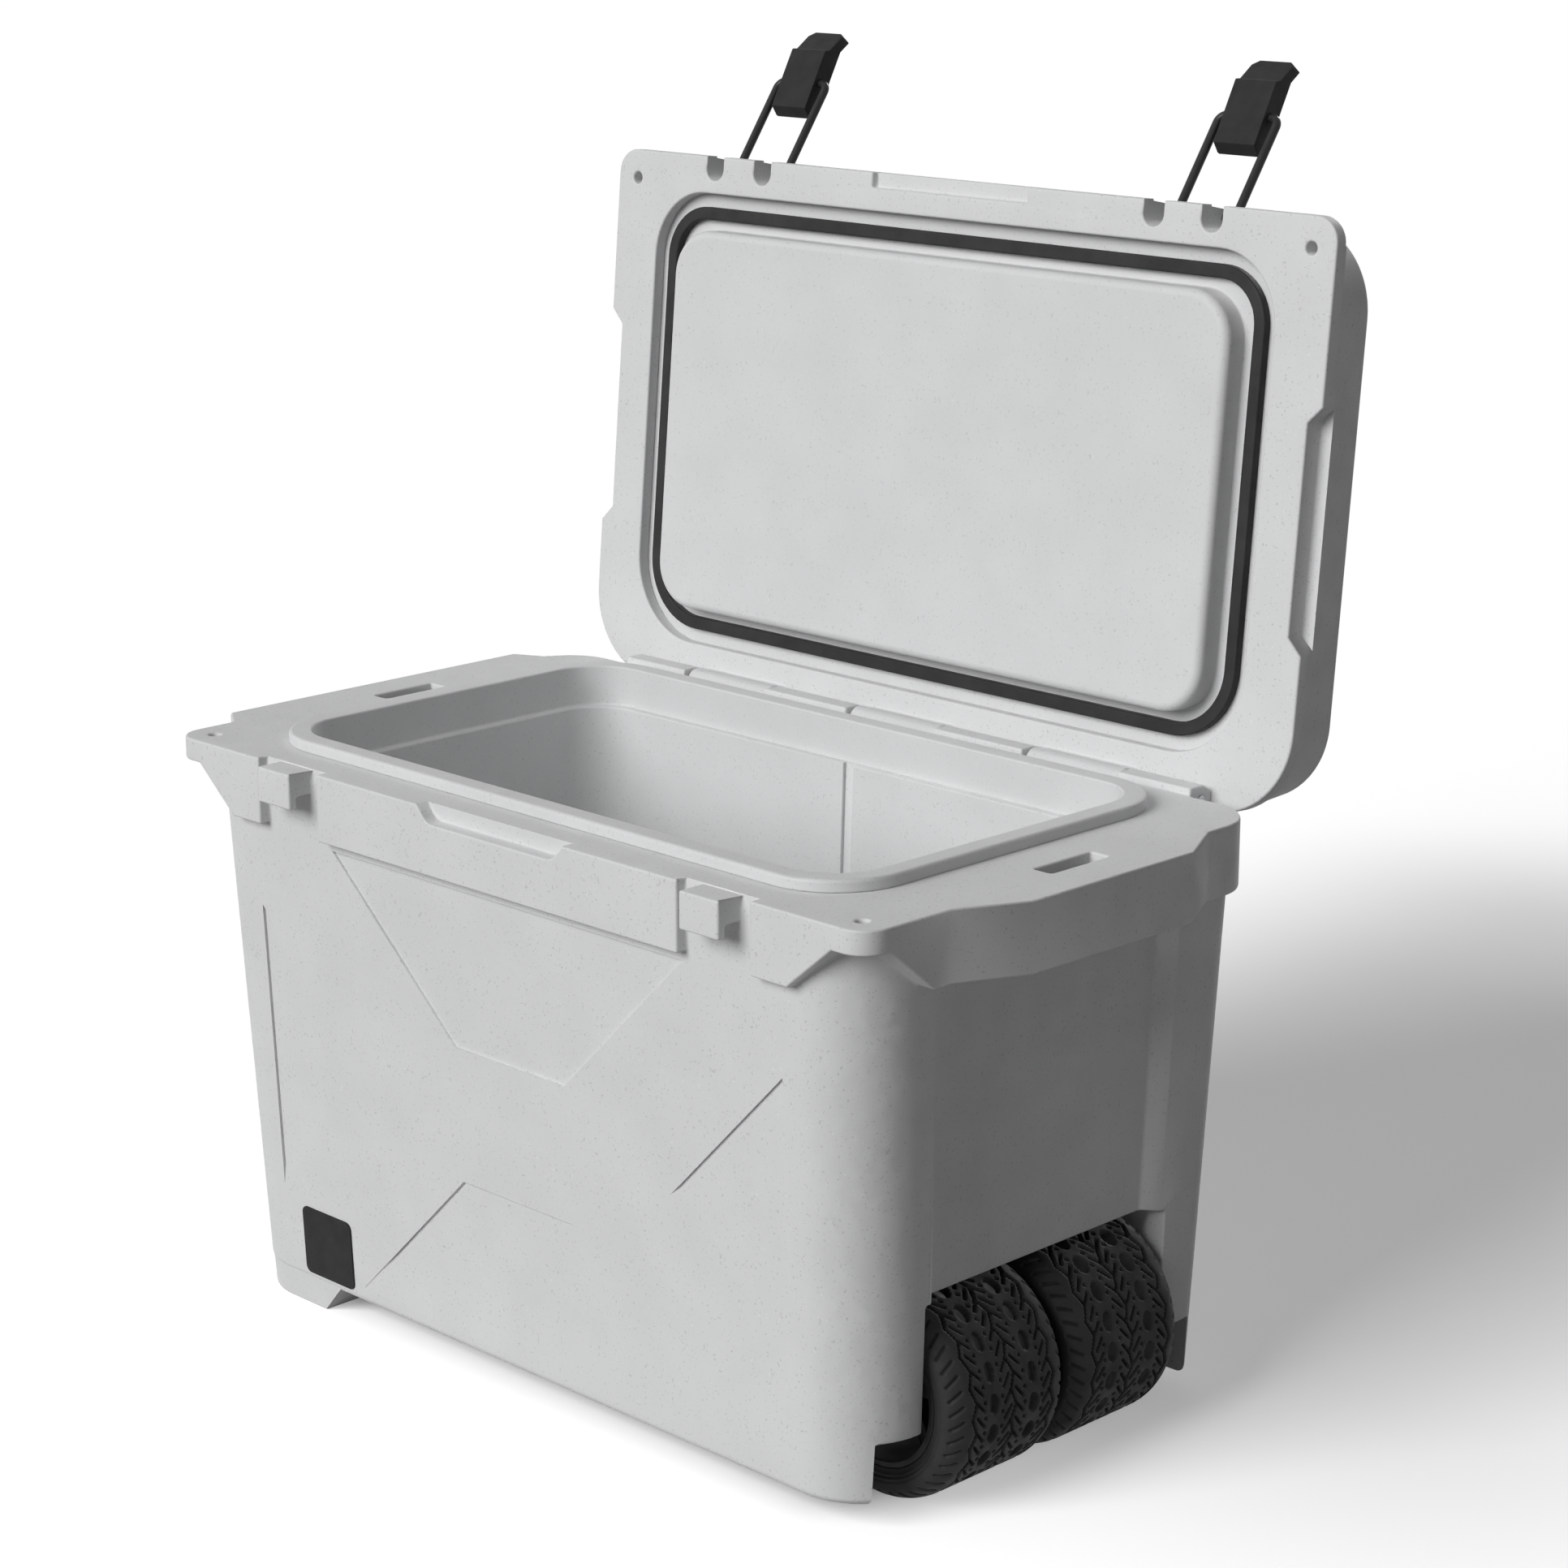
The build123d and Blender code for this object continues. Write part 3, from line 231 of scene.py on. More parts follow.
# %% [markdown]
# ## Steel, nylon bushes and foam
# The axle, the hinge pin and the screws are bright steel with fine drawn lines, so their noise is stretched
# along the bar. The bushes are milky nylon. The foam inside the walls is never seen, but a part that is
# taken apart in another scene should still look like foam, so it gets open cells from a Voronoi texture.

# %% Steel, nylon and foam
def drawn_steel(name):
    finish, tree, skin = new_finish(name)
    lines = noise(tree, 260, 4, (1, 0.03, 1))
    tone = ramp(tree, lines, 0.3, 0.7, (0.5, 0.51, 0.52), (0.62, 0.625, 0.63))
    tree.links.new(tone, skin.inputs["Base Color"])
    skin.inputs["Metallic"].default_value = 1.0
    tree.links.new(ramp(tree, noise(tree, 90, 3), 0.3, 0.7, 0.25, 0.42), skin.inputs["Roughness"])
    bump(tree, skin, lines, 0.1, 0.0001)
    return finish


def milky_nylon(name):
    finish, tree, skin = new_finish(name)
    clouds = ramp(tree, noise(tree, 60, 4), 0.3, 0.7, (0.74, 0.72, 0.66), (0.82, 0.8, 0.75))
    tree.links.new(clouds, skin.inputs["Base Color"])
    tree.links.new(ramp(tree, noise(tree, 120, 2), 0.3, 0.7, 0.4, 0.5), skin.inputs["Roughness"])
    bump(tree, skin, noise(tree, 700, 2), 0.1, 0.0002)
    return finish


def open_foam(name):
    finish, tree, skin = new_finish(name)
    cells = tree.nodes.new("ShaderNodeTexVoronoi")
    cells.inputs["Scale"].default_value = 420
    place = tree.nodes.new("ShaderNodeTexCoord")
    tree.links.new(place.outputs["Object"], cells.inputs["Vector"])
    tone = ramp(tree, cells.outputs["Distance"], 0.1, 0.7, (0.62, 0.54, 0.36), (0.86, 0.79, 0.6))
    tree.links.new(tone, skin.inputs["Base Color"])
    skin.inputs["Roughness"].default_value = 0.9
    bump(tree, skin, cells.outputs["Distance"], 0.6, 0.001)
    return finish


steel_skin = drawn_steel("drawn_steel")
bush_skin = milky_nylon("milky_nylon")
foam_skin = open_foam("open_foam")
print("made", steel_skin.name, bush_skin.name, foam_skin.name)

# %% [markdown]
# ## One finish for each CAD part
# The record says which parts belong to which material slot. Here each part gets its finish, also the
# parts that the next cells replace with softer copies, because the copies take the finish over.

# %% Dress the CAD parts
FINISHES = {
    "shell_plastic": (shell_skin, ("outer_shell", "lid_shell")),
    "liner_plastic": (liner_skin, ("inner_liner", "lid_liner")),
    "foam": (foam_skin, ("tub_foam", "lid_foam")),
    "gasket_rubber": (seal_skin, ("lid_gasket", "drain_seal")),
    "latch_plastic": (latch_skin, ("left_latch_lever", "right_latch_lever")),
    "latch_rod": (rod_skin, ("left_latch_bail", "right_latch_bail")),
    "tyre_rubber": (tyre_skin, ("front_tyre", "rear_tyre")),
    "rim_plastic": (rim_skin, ("front_rim", "rear_rim", "front_axle_cap", "rear_axle_cap")),
    "steel": (steel_skin, ("hinge_pin", "wheel_axle", "front_axle_cap_screws", "rear_axle_cap_screws")),
    "bush_plastic": (bush_skin, ("wheel_spacer", "front_wheel_bushing", "rear_wheel_bushing",
                                 "front_thrust_washer", "rear_thrust_washer")),
    "drain_plastic": (drain_skin, ("drain_fitting", "drain_nut", "drain_plug")),
}
slot_of = {}
for slot, (finish, names) in FINISHES.items():
    for name in names:
        slot_of[name] = slot
        skin = frame["nodes"][name].data
        skin.materials.clear()
        skin.materials.append(finish)
missed = sorted(set(frame["nodes"]) - set(slot_of))
print(len(slot_of), "CAD parts dressed, missed:", missed)

# %% [markdown]
# ## Pockets that run out
# Shallow pockets in the front and back walls leave a wide X standing. In the CAD solid each pocket has a
# square step all round. In the photograph some of those edges hardly show, so on a copy of the tub the
# pocket floors are changed there: the low pocket runs out towards the bottom, its top edge gets a steep
# slope, and the lower edges of the side pockets become wide ramps. Moving a few corner points of the floors
# does all of it, and the wall round them keeps its shape.

# %% A welded copy of a CAD part
WELD = 0.02 * MM


def welded_copy(name):
    work = bmesh.new()
    work.from_mesh(frame["nodes"][name].data)
    bmesh.ops.remove_doubles(work, verts=work.verts, dist=WELD)
    work.normal_update()
    return work


# %% Find the pocket floors
WALL_TOP = 400 * MM
BIG_FACE = 2e-4
FACING = 0.99
POCKET_SINK = (-3.0 * MM, -1.5 * MM)
shell_low, shell_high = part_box("outer_shell")
shell_middle = (shell_low[1] + shell_high[1]) / 2


def outer_wall(work, way):
    """Faces of the wall on one side, its direction and a point on its outer plane."""
    walls = []
    for face in work.faces:
        middle = face.calc_center_median()
        outside = (middle.y - shell_middle) * way > 0
        if face.normal.y * way > FACING and outside and middle.z < WALL_TOP:
            walls.append(face)
    out = max(walls, key=lambda face: face.calc_area()).normal.copy()
    place = max((face.verts[0].co for face in walls if face.calc_area() > BIG_FACE), key=out.dot).copy()
    return walls, out, place


def floor_geometry(walls, out, place):
    """The sunk faces among them, with their edges and points."""
    parts = {}
    for face in walls:
        heights = [(vert.co - place).dot(out) for vert in face.verts]
        if all(POCKET_SINK[0] < height < POCKET_SINK[1] for height in heights):
            parts.update(dict.fromkeys([face, *face.edges, *face.verts]))
    return list(parts)


print("the tub's middle lies at y", round(shell_middle, 4))

# %% Slope the pocket floors
FOOT_EDGE = 36 * MM
RUN_OUT_TOP = 72 * MM
HEAD_EDGE = 165 * MM
HEAD_SLOPE = 1.6 * MM
SIDE_EDGE = 393 * MM
SIDE_BASE = 292 * MM
SIDE_RAMP = 8.5 * MM
SAME = 0.5 * MM


def slide(vert, across, up, out):
    """Moves a point within the wall's own plane."""
    vert.co.x += across if vert.co.x > 0 else -across
    vert.co.z += up
    vert.co.y -= up * out.z / out.y


def slope_point(vert, out, place):
    """Moves a corner point of a pocket floor, and tells whether it was one."""
    side = abs(vert.co.x)
    on_side_edge = abs(side + vert.co.z - SIDE_EDGE) < SAME
    if abs(vert.co.z - FOOT_EDGE) < SAME:
        vert.co.y -= (vert.co - place).dot(out) / out.y
    elif abs(vert.co.z - HEAD_EDGE) < SAME:
        slide(vert, 0, -HEAD_SLOPE, out)
    elif on_side_edge and side > SIDE_BASE:
        slide(vert, 0, 2 * SIDE_RAMP, out)
    elif on_side_edge:
        slide(vert, SIDE_RAMP, SIDE_RAMP, out)
    else:
        return False
    return True


def run_out_pockets(work):
    """Slopes the pocket floors of the front and back walls, and tells how many points it moved."""
    moved = 0
    for way in (-1, 1):
        walls, out, place = outer_wall(work, way)
        floors = floor_geometry(walls, out, place)
        cut = bmesh.ops.bisect_plane(work, geom=floors, plane_co=(0, 0, RUN_OUT_TOP), plane_no=(0, 0, 1))
        points = [part for part in cut["geom"] if isinstance(part, bmesh.types.BMVert)]
        moved += sum(slope_point(vert, out, place) for vert in points)
    bmesh.ops.remove_doubles(work, verts=work.verts, dist=WELD)
    bmesh.ops.triangulate(work, faces=[face for face in work.faces if len(face.verts) > 3])
    return moved


trial = welded_copy("outer_shell")
print(run_out_pockets(trial), "points of the pocket floors moved")
trial.free()

# %% [markdown]
# ## Soft edges
# A moulded part has no sharp edges: resin can't fill a sharp corner, and a sharp edge would crack. The CAD
# solid has them, because a round on every edge makes a heavy model. A Bevel modifier is the usual cure, but
# where two edges lie closer than the round is wide it folds the surface over itself. So the bevel is done
# in code on a copy of each part: bevel, look for faces that left the old surface or were turned over, leave
# the edges near those faces sharp, and bevel again. The CAD part itself stays untouched.

# %% Find faces that a bevel spoiled
SLIVER = 0.01 * MM
NO_AREA = 1e-12
TURNED_OVER = -0.1


def joined_copy(name):
    work = welded_copy(name)
    if name == "outer_shell":
        run_out_pockets(work)
    bmesh.ops.dissolve_degenerate(work, edges=work.edges, dist=SLIVER)
    work.normal_update()
    work.edges.ensure_lookup_table()
    return work


def spoiled_spots(work, surface, width):
    spots = []
    for corners in work.calc_loop_triangles():
        a, b, c = (corner.vert.co for corner in corners)
        normal = (b - a).cross(c - a)
        if normal.length < NO_AREA:
            continue
        _, old_normal, _, _ = surface.find_nearest((a + b + c) / 3)
        turned_over = normal.normalized().dot(old_normal) < TURNED_OVER
        places = (a, (a + b) / 2, (b + c) / 2, (c + a) / 2, (a + b + c) / 3)
        if turned_over or any(surface.find_nearest(place)[3] > width for place in places):
            spots.append((a + b + c) / 3)
    return spots


def edges_clear_of(work, numbers, spots, room):
    near = KDTree(len(spots))
    for number, spot in enumerate(spots):
        near.insert(spot, number)
    near.balance()
    clear = []
    for number in numbers:
        start, end = (vert.co for vert in work.edges[number].verts)
        steps = max(1, int((end - start).length / (room / 2)))
        if all(near.find(start.lerp(end, k / steps))[2] > room for k in range(steps + 1)):
            clear.append(number)
    return clear


# %% Softened copies
SHARP = math.radians(50)
TRIES = 6
CLEAR_WIDTHS = 2.5


def soften(name, width):
    source = joined_copy(name)
    surface = BVHTree.FromBMesh(source)
    numbers = [edge.index for edge in source.edges if edge.calc_face_angle(0) > SHARP]
    for _ in range(TRIES):
        work = joined_copy(name)
        bmesh.ops.bevel(work, geom=[work.edges[k] for k in numbers], offset=width, segments=2, profile=0.5,
                        affect="EDGES", clamp_overlap=False, loop_slide=False, miter_outer="ARC")
        spots = spoiled_spots(work, surface, width)
        room = CLEAR_WIDTHS * width
        kept = edges_clear_of(source, numbers, spots, room) if spots else numbers
        if len(kept) == len(numbers):
            break
        numbers = kept
        work.free()
    mesh = bpy.data.meshes.new(name + "_soft")
    work.to_mesh(mesh)
    work.free()
    source.free()
    for layer in ("custom_normal", "sharp_edge", "sharp_face"):
        if layer in mesh.attributes:
            mesh.attributes.remove(mesh.attributes[layer])
    mesh.shade_smooth()
    mesh.set_sharp_from_angle(angle=SHARP)
    mesh.materials.clear()
    mesh.materials.append(frame["nodes"][name].data.materials[0])
    piece = bpy.data.objects.new(name + "_soft", mesh)
    bpy.context.scene.collection.objects.link(piece)
    normals = piece.modifiers.new("even shading", "WEIGHTED_NORMAL")
    normals.keep_sharp = True
    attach(piece, frame["nodes"][name]["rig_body"])
    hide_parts(name)
    print(piece.name, len(mesh.polygons), "faces,", len(numbers), "edges rounded,",
          len(spots), "spots left")


EDGE_ROUNDS = {
    "outer_shell": 1.8, "lid_shell": 1.8, "inner_liner": 1.8, "lid_liner": 1.5, "lid_gasket": 0.6,
    "left_latch_lever": 0.8, "right_latch_lever": 0.8, "front_rim": 1.0, "rear_rim": 1.0,
    "front_axle_cap": 0.8, "rear_axle_cap": 0.8, "drain_fitting": 0.5, "drain_plug": 0.6, "drain_nut": 0.4,
}
for name, width in EDGE_ROUNDS.items():
    soften(name, width * MM)

# %% [markdown]
# ## Tyre tread
# The tyres are broad rubber rollers. Each has three zigzag grooves round it, two rows of oval pockets,
# short slanted slits and rows of nubs on the shoulders. A bump map would leave the outline smooth, so the
# tread is real geometry: the tyre's section is swept round the axle as a fine grid, and every grid point is
# pushed in by a depth that is worked out from where it lies on the tread. Both tyres share one mesh.

# %% Section of the tyre
tyre_low, tyre_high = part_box("front_tyre")
tyre_radius = (tyre_high.z - tyre_low.z) / 2 / MM
tyre_half = (tyre_high.y - tyre_low.y) / 2 / MM
rim_radius = 56.2
SHOULDER_REACH = 66
GRID_STEP = 1.05
SIDE_POINTS = 18
BORE_POINTS = 4
BORE_MARK = 999.0
corner = [(tyre_radius, 0), (tyre_radius, 43), (tyre_radius - 0.9, 48), (tyre_radius - 2.8, 52.6),
          (tyre_radius - 5.6, 56.8), (tyre_radius - 9.4, 59.8), (tyre_radius - 14, tyre_half - 0.1),
          (tyre_radius - 18.2, 60.2), (tyre_radius - 21.4, 58.4), (59.2, 57.2), (57.6, 56.8),
          (rim_radius, 56.4)]
corner = np.array(corner, float)
reach = np.concatenate(([0], np.cumsum(np.hypot(*np.diff(corner, axis=0).T))))
tread_line = np.arange(0, SHOULDER_REACH, GRID_STEP)
half_line = np.concatenate((tread_line, np.linspace(SHOULDER_REACH, reach[-1], SIDE_POINTS)))
across = np.concatenate((-half_line[:0:-1], half_line))
section = np.stack([np.interp(abs(across), reach, corner[:, 0]),
                    np.sign(across) * np.interp(abs(across), reach, corner[:, 1])], axis=1)
for _ in range(3):
    section[1:-1] = (section[:-2] + 2 * section[1:-1] + section[2:]) / 4
bore = np.linspace(section[-1, 1], section[0, 1], BORE_POINTS + 2)[1:-1]
section = np.concatenate((section, np.stack([np.full(BORE_POINTS, rim_radius), bore], axis=1)))
across = np.concatenate((across, np.full(BORE_POINTS, BORE_MARK)))
print("tyre radius", round(tyre_radius, 1), "half width", round(tyre_half, 1),
      "section points", len(section))

# %% [markdown]
# The depth of the tread is a sum of simple shapes, each given by the distance to a line or a point in
# millimetres: round the tyre one way, across it the other. The pattern repeats 22 times round the tyre.

# %% Distances on the tread
PITCHES = 22
STEPS = 28
around = np.arange(PITCHES * STEPS) * 2 * math.pi / (PITCHES * STEPS)
pitch = 2 * math.pi * tyre_radius / PITCHES
S, A = np.meshgrid(across, around * tyre_radius)


def inside(distance, half, soft=0.5):
    t = np.clip((half + soft - distance) / (2 * soft), 0, 1)
    return t * t * (3 - 2 * t)


def repeat(place):
    return (A - place + pitch / 2) % pitch - pitch / 2


def slit(start, end):
    (s0, a0), (s1, a1) = start, end
    best = np.full(A.shape, 1e3)
    for shift in (-pitch, 0, pitch):
        u, v = S - s0, (A % pitch) - a0 + shift
        t = np.clip((u * (s1 - s0) + v * (a1 - a0)) / ((s1 - s0) ** 2 + (a1 - a0) ** 2), 0, 1)
        best = np.minimum(best, np.hypot(u - t * (s1 - s0), v - t * (a1 - a0)))
    return best


print("pitch", round(pitch, 2), "mm")

# %% Depth of the tread
GROOVE_ROWS, GROOVE_SWING, GROOVE_HALF, GROOVE_DEPTH = (-41, 0, 41), 2.2, 1.35, 4.2
OVAL_ROW, OVAL_WIDE, OVAL_LONG = 21, 5.4, 7.6
OVAL_DEPTH, OVAL_TILT, OVAL_SCALE = 3.0, 1.8, 6
SLIT_NEAR, SLIT_FAR, SLIT_RUN, SLIT_HALF, SLIT_DEPTH = 2.6, 9.5, 8, 1.15, 3.4
SLIT_LIMIT = 46
DOT_ROWS, DOT_LAGS, DOT_RADIUS, DOT_DEPTH = (-30, -12, 12, 30), (0.1, 0.6), 1.5, 3.0
NUB_NEAR, NUB_FAR, NUB_RUN, NUB_HALF, NUB_DEPTH = 51, 61, 6, 1.2, 1.8
RINGS, RING_HALF, RING_DEPTH = (70.5, 74), 0.6, 0.8
CRISP, ROUNDED = 0.4, 0.6
depth = np.zeros(A.shape)
for middle, lag in zip(GROOVE_ROWS, (0, pitch / 2, 0)):
    zigzag = GROOVE_SWING * (4 * abs(((A - lag) / pitch) % 1 - 0.5) - 1)
    depth = np.maximum(depth, GROOVE_DEPTH * inside(abs(S - middle - zigzag), GROOVE_HALF, CRISP))
for row, lag in ((-OVAL_ROW, 0), (OVAL_ROW, pitch / 2)):
    oval = np.hypot((S - row) / OVAL_WIDE, repeat(lag + pitch / 4) / OVAL_LONG)
    slope = np.clip((S - row) / OVAL_WIDE, -1, 1) * OVAL_TILT + OVAL_DEPTH
    depth = np.maximum(depth, slope * inside(oval * OVAL_SCALE, OVAL_SCALE, CRISP))
for middle in GROOVE_ROWS:
    for side in (-1, 1):
        for lag in (0, pitch / 2):
            start, end = (middle + side * SLIT_NEAR, lag), (middle + side * SLIT_FAR, lag + SLIT_RUN)
            if abs(end[0]) < SLIT_LIMIT:
                depth = np.maximum(depth, SLIT_DEPTH * inside(slit(start, end), SLIT_HALF, CRISP))
for spot in DOT_ROWS:
    for lag in DOT_LAGS:
        dot = np.hypot(S - spot, repeat(lag * pitch))
        depth = np.maximum(depth, DOT_DEPTH * inside(dot, DOT_RADIUS, CRISP))
for side in (-1, 1):
    for lag in (0, pitch / 2):
        nub = slit((side * NUB_NEAR, lag), (side * NUB_FAR, lag + NUB_RUN))
        depth = np.maximum(depth, NUB_DEPTH * inside(nub, NUB_HALF, ROUNDED))
    for ring in RINGS:
        depth = np.maximum(depth, RING_DEPTH * inside(abs(S - side * ring), RING_HALF, ROUNDED))
depth[:, across == BORE_MARK] = 0
print("deepest cut", round(float(depth.max()), 2), "mm")

# %% Sweep the section into a tyre
forward = np.roll(section, -1, axis=0) - np.roll(section, 1, axis=0)
outward = np.stack([forward[:, 1], -forward[:, 0]], axis=1)
outward /= np.linalg.norm(outward, axis=1, keepdims=True)
radius = section[:, 0] - depth * outward[:, 0]
width = section[:, 1] - depth * outward[:, 1]
turn = around[:, None]
points = np.stack([radius * np.sin(turn), width, radius * np.cos(turn)], axis=2) * MM
rows, columns = depth.shape
index = np.arange(rows * columns).reshape(rows, columns)
down, right = np.roll(index, -1, axis=0), np.roll(index, -1, axis=1)
quads = np.stack([index, right, np.roll(down, -1, axis=1), down], axis=2).reshape(-1, 4)
tread = bpy.data.meshes.new("treaded_tyre")
tread.from_pydata(points.reshape(-1, 3).tolist(), [], quads.tolist())
tread.validate()
tread.shade_smooth()
cut = tread.attributes.new("cut", "FLOAT", "POINT")
cut.data.foreach_set("value", (depth / depth.max()).ravel())
tread.materials.append(tyre_skin)
for name, body, half_turn in (("front_tyre", "front_wheel", 0), ("rear_tyre", "rear_wheel", math.pi)):
    low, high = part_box(name)
    tyre = bpy.data.objects.new(name + "_treaded", tread)
    bpy.context.scene.collection.objects.link(tyre)
    tyre.location = (low + high) / 2
    tyre.rotation_euler.z = half_turn
    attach(tyre, body)
    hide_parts(name)
    print(tyre.name, "at", [round(x, 4) for x in tyre.location])
print("tread faces", len(tread.polygons))

# %% [markdown]
# ## A bare plate on the front wall
# Low on the front wall sits a small black plate with rounded corners. It is left bare. The wall leans, so
# the plate is laid on it by shooting three rays at the wall and building it in the plane of the hits.

# %% Plane of the front plate
PLATE_X = (-270.5, -208.8)
PLATE_Z = (30, 88)
wall = bpy.data.objects["outer_shell_soft"]
bpy.context.view_layer.update()


def wall_point(x, z):
    hit, place, _, _ = wall.ray_cast(Vector((x * MM, -1, z * MM)), Vector((0, 1, 0)))
    if not hit:
        raise ValueError("the ray missed the front wall")
    return place


foot = wall_point(PLATE_X[0], PLATE_Z[0])
across_wall = (wall_point(PLATE_X[1], PLATE_Z[0]) - foot).normalized()
up_wall = (wall_point(PLATE_X[0], PLATE_Z[1]) - foot).normalized()
out_of_wall = across_wall.cross(up_wall).normalized()
size_x = (PLATE_X[1] - PLATE_X[0]) * MM
size_z = (wall_point(PLATE_X[0], PLATE_Z[1]) - foot).length
print("plate", round(size_x, 4), "by", round(size_z, 4), "at", [round(x, 4) for x in foot])

# %% Bare front plate
PLATE_R = 6 * MM
PLATE_T = 1.4
PLATE_SINK = 0.4
ARC_STEPS = 8
outline = []
for cx, cz, start in ((size_x, 0, -90), (size_x, size_z, 0), (0, size_z, 90), (0, 0, 180)):
    mx = cx + (PLATE_R if cx == 0 else -PLATE_R)
    mz = cz + (PLATE_R if cz == 0 else -PLATE_R)
    for step in range(ARC_STEPS + 1):
        angle = math.radians(start + step * 90 / ARC_STEPS)
        outline.append((mx + PLATE_R * math.cos(angle), mz + PLATE_R * math.sin(angle)))
work = bmesh.new()
sunk_foot = foot - out_of_wall * PLATE_SINK * MM
face = work.faces.new([work.verts.new(sunk_foot + across_wall * u + up_wall * v) for u, v in outline])
grown = bmesh.ops.extrude_face_region(work, geom=[face])
lifted = [v for v in grown["geom"] if isinstance(v, bmesh.types.BMVert)]
bmesh.ops.translate(work, verts=lifted, vec=out_of_wall * (PLATE_T + PLATE_SINK) * MM)
bmesh.ops.recalc_face_normals(work, faces=work.faces)
plate_mesh = bpy.data.meshes.new("bare_front_plate")
work.to_mesh(plate_mesh)
work.free()
plate_mesh.materials.append(latch_skin)
plate = bpy.data.objects.new("bare_front_plate", plate_mesh)
bpy.context.scene.collection.objects.link(plate)
rounds = plate.modifiers.new("soft edge", "BEVEL")
rounds.width = 0.5 * MM
rounds.segments = 3
rounds.limit_method = "ANGLE"
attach(plate, "tub")
print(plate.name, "with", len(outline), "points round its edge")

# %% [markdown]
# ## Floor
# The floor is a plain white sheet that takes the cooler's soft shadow. A small glow, which only the camera
# and reflections see, lifts the lit part to paper white, so that the shadow is all that shows of it. The
# glow fades out under the tub and weakens behind it, where the shadow falls, so the floor is painted darker
# there as painted shadow; a full glow there would also wash out the cast shadow.

# %% Helpers for the floor's glow
def seen_rays(tree):
    rays = tree.nodes.new("ShaderNodeLightPath")
    total = rays.outputs["Is Camera Ray"]
    for name in ("Is Glossy Ray", "Is Transmission Ray"):
        node = tree.nodes.new("ShaderNodeMath")
        node.operation, node.use_clamp = "ADD", True
        tree.links.new(total, node.inputs[0])
        tree.links.new(rays.outputs[name], node.inputs[1])
        total = node.outputs[0]
    return total


def calculate(tree, operation, first, second):
    node = tree.nodes.new("ShaderNodeMath")
    node.operation = operation
    for socket, value in zip(node.inputs, (first, second)):
        if isinstance(value, bpy.types.NodeSocket):
            tree.links.new(value, socket)
        else:
            socket.default_value = value
    return node.outputs[0]


def fade_out_from(tree, middle, half, fade, low):
    """A value that is low over a rectangle of the floor and rises to 1 at a distance from it."""
    place = tree.nodes.new("ShaderNodeTexCoord")
    axes = tree.nodes.new("ShaderNodeSeparateXYZ")
    tree.links.new(place.outputs["Object"], axes.inputs["Vector"])
    squares = []
    for axis, centre, size in zip("XY", middle, half):
        offset = calculate(tree, "ABSOLUTE", calculate(tree, "SUBTRACT", axes.outputs[axis], centre), 0)
        beyond = calculate(tree, "MAXIMUM", calculate(tree, "SUBTRACT", offset, size), 0)
        squares.append(calculate(tree, "POWER", beyond, 2))
    rise = tree.nodes.new("ShaderNodeMapRange")
    rise.interpolation_type = "SMOOTHSTEP"
    rise.inputs["From Max"].default_value = fade
    rise.inputs["To Min"].default_value = low
    tree.links.new(calculate(tree, "SQRT", calculate(tree, "ADD", *squares), 0), rise.inputs["Value"])
    return rise.outputs["Result"]


print("floor helpers ready")

# %% White floor
FLOOR_GLOW = 0.46
FLOOR_REACH = 30
BOUNCE_GREY = (0.3, 0.3, 0.3, 1)
floor_finish, tree, skin = new_finish("white_paper")
paper_white = ramp(tree, noise(tree, 3, 2), 0.3, 0.7, 0.94, 0.95)
paper_colour = mix(tree, "MIX", seen_rays(tree), BOUNCE_GREY, paper_white)
tree.links.new(paper_colour, skin.inputs["Base Color"])
skin.inputs["Roughness"].default_value = 1.0
skin.inputs["Specular IOR Level"].default_value = 0.0
skin.inputs["Emission Color"].default_value = (1, 1, 1, 1)
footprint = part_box("inner_liner")
floor_middle = (footprint[0] + footprint[1]) / 2
glow = calculate(tree, "MULTIPLY", seen_rays(tree), FLOOR_GLOW)
# Painted shadow: the glow drops to nothing under the tub and to 0.47 of itself behind it, where the cooler's
# cast shadow falls, so the floor is painted darker there.
painted_contact_shade = fade_out_from(tree, middle=(0, 0), half=(0.27, 0.13), fade=0.07, low=0.0)
painted_shadow_zone = fade_out_from(tree, middle=(0.15, 0.85), half=(0.30, 0.55), fade=0.5, low=0.47)
glow = calculate(tree, "MULTIPLY", glow, calculate(tree, "MULTIPLY", painted_contact_shade, painted_shadow_zone))
tree.links.new(glow, skin.inputs["Emission Strength"])
paper = bpy.data.meshes.new("floor")
corners = [(x * FLOOR_REACH, y * FLOOR_REACH, 0) for x, y in ((-1, -1), (1, -1), (1, 1), (-1, 1))]
paper.from_pydata(corners, [], [(0, 1, 2, 3)])
paper.materials.append(floor_finish)
floor = bpy.data.objects.new("floor", paper)
floor.location = (floor_middle.x, floor_middle.y, 0)
bpy.context.scene.collection.objects.link(floor)
print("floor laid round", [round(x, 3) for x in floor.location])

# %% [markdown]
# ## Light
# The photograph was lit by one broad, soft light in front of the cooler, to the camera's left, with a little
# light from all round: the front is bright, the near end is dim, and the round corner between them shades
# evenly. A sun lamp with a wide disc does the same as a large panel far away, and lights the floor evenly. A
# weak one behind keeps the back from going black. It casts no shadow, because a second shadow would look
# false. The world adds the fill: dim grey for light on the object, but plain white where the camera or a
# reflection looks past it.

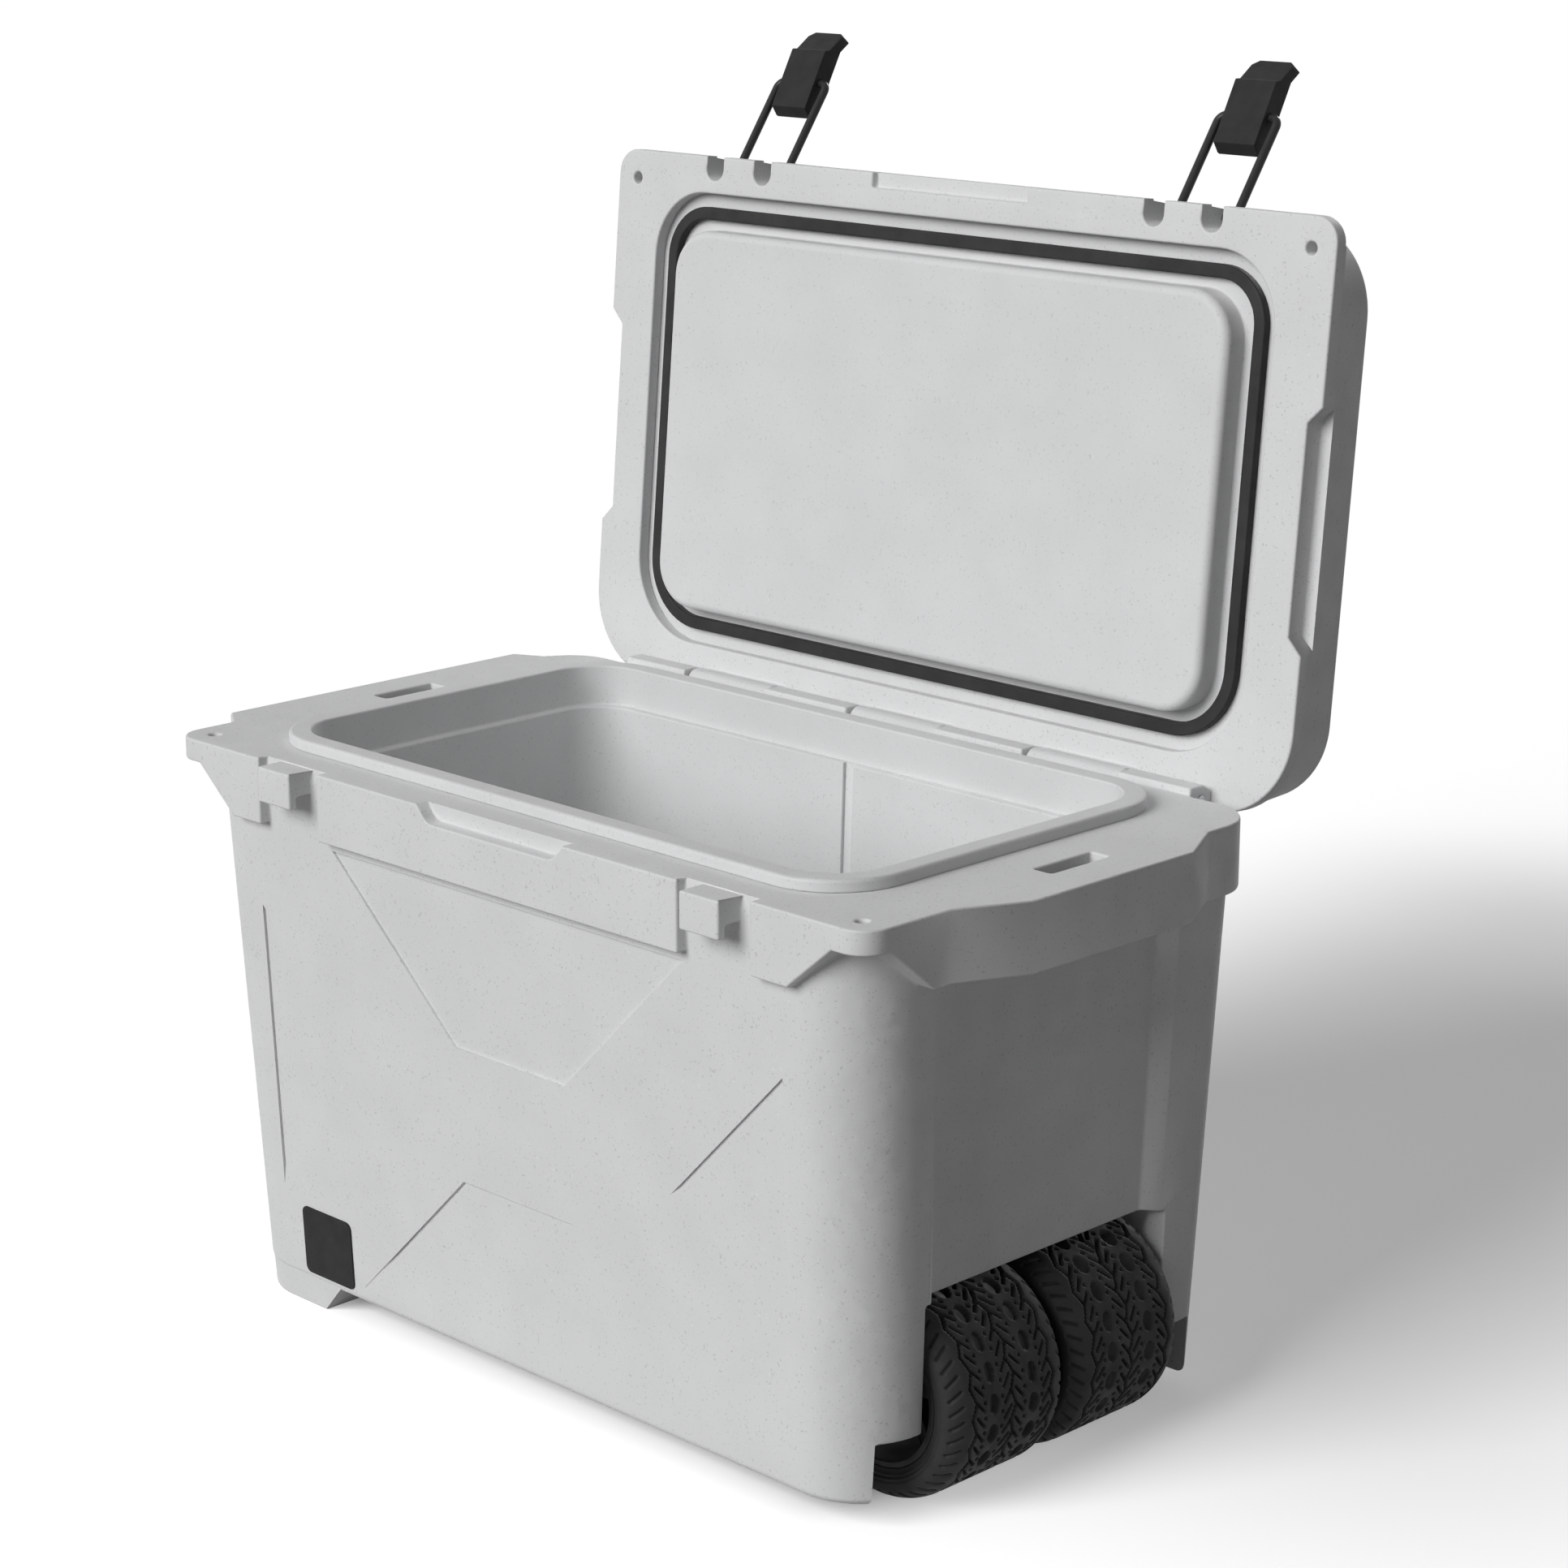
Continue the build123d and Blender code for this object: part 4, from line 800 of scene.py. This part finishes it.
# %% Lamps
def sun(name, energy, to_light):
    lamp = bpy.data.lights.new(name, "SUN")
    lamp.energy = energy
    holder = bpy.data.objects.new(name, lamp)
    holder.rotation_euler = Vector(to_light).to_track_quat("Z", "Y").to_euler()
    bpy.context.scene.collection.objects.link(holder)
    return lamp


key = sun("soft_key", 2.7, (-0.115, -0.87, 0.48))
key.angle = math.radians(36)
back = sun("weak_back", 0.6, (-0.25, 0.9, 0.35))
back.use_shadow = False
print("key", key.energy, "back", back.energy)

# %% World
FILL = 0.10
world = bpy.data.worlds.new("studio")
world.use_nodes = True
tree = world.node_tree
tree.nodes.clear()
output = tree.nodes.new("ShaderNodeOutputWorld")
fill = tree.nodes.new("ShaderNodeBackground")
level = tree.nodes.new("ShaderNodeMapRange")
level.inputs["To Min"].default_value = FILL
level.inputs["To Max"].default_value = 1.0
tree.links.new(seen_rays(tree), level.inputs["Value"])
fill.inputs["Color"].default_value = (1, 1, 1, 1)
tree.links.new(level.outputs["Result"], fill.inputs["Strength"])
tree.links.new(fill.outputs["Background"], output.inputs["Surface"])
bpy.context.scene.world = world
print("fill", FILL)

# %% [markdown]
# ## Camera
# The camera stands to the front right of the cooler, above its lid's hinge, about three metres away. Its
# place was solved from points of the object in the photograph, and is kept as a step from the hinge line.

# %% Camera
FROM_HINGE = Vector((2.0182, -2.1448, 0.7388))
azimuth = math.radians(45.09)
elevation = math.radians(14.93)
bpy.context.scene.view_settings.view_transform = "Standard"
eye = bpy.data.cameras.new("camera")
eye.lens = 85.81
eye.sensor_width = 36.0
camera = bpy.data.objects.new("camera", eye)
camera.location = hinge + FROM_HINGE
backward = Vector((math.sin(azimuth) * math.cos(elevation), -math.cos(azimuth) * math.cos(elevation),
                   math.sin(elevation)))
camera.rotation_euler = (-backward).to_track_quat("-Z", "Y").to_euler()
bpy.context.scene.collection.objects.link(camera)
bpy.context.scene.camera = camera
print("camera at", [round(x, 3) for x in camera.location])

# %% [markdown]
# ## Finish
# Dressing a part must not change its size. This last cell only brings the scene up to date.

# %% Finish
bpy.context.view_layer.update()
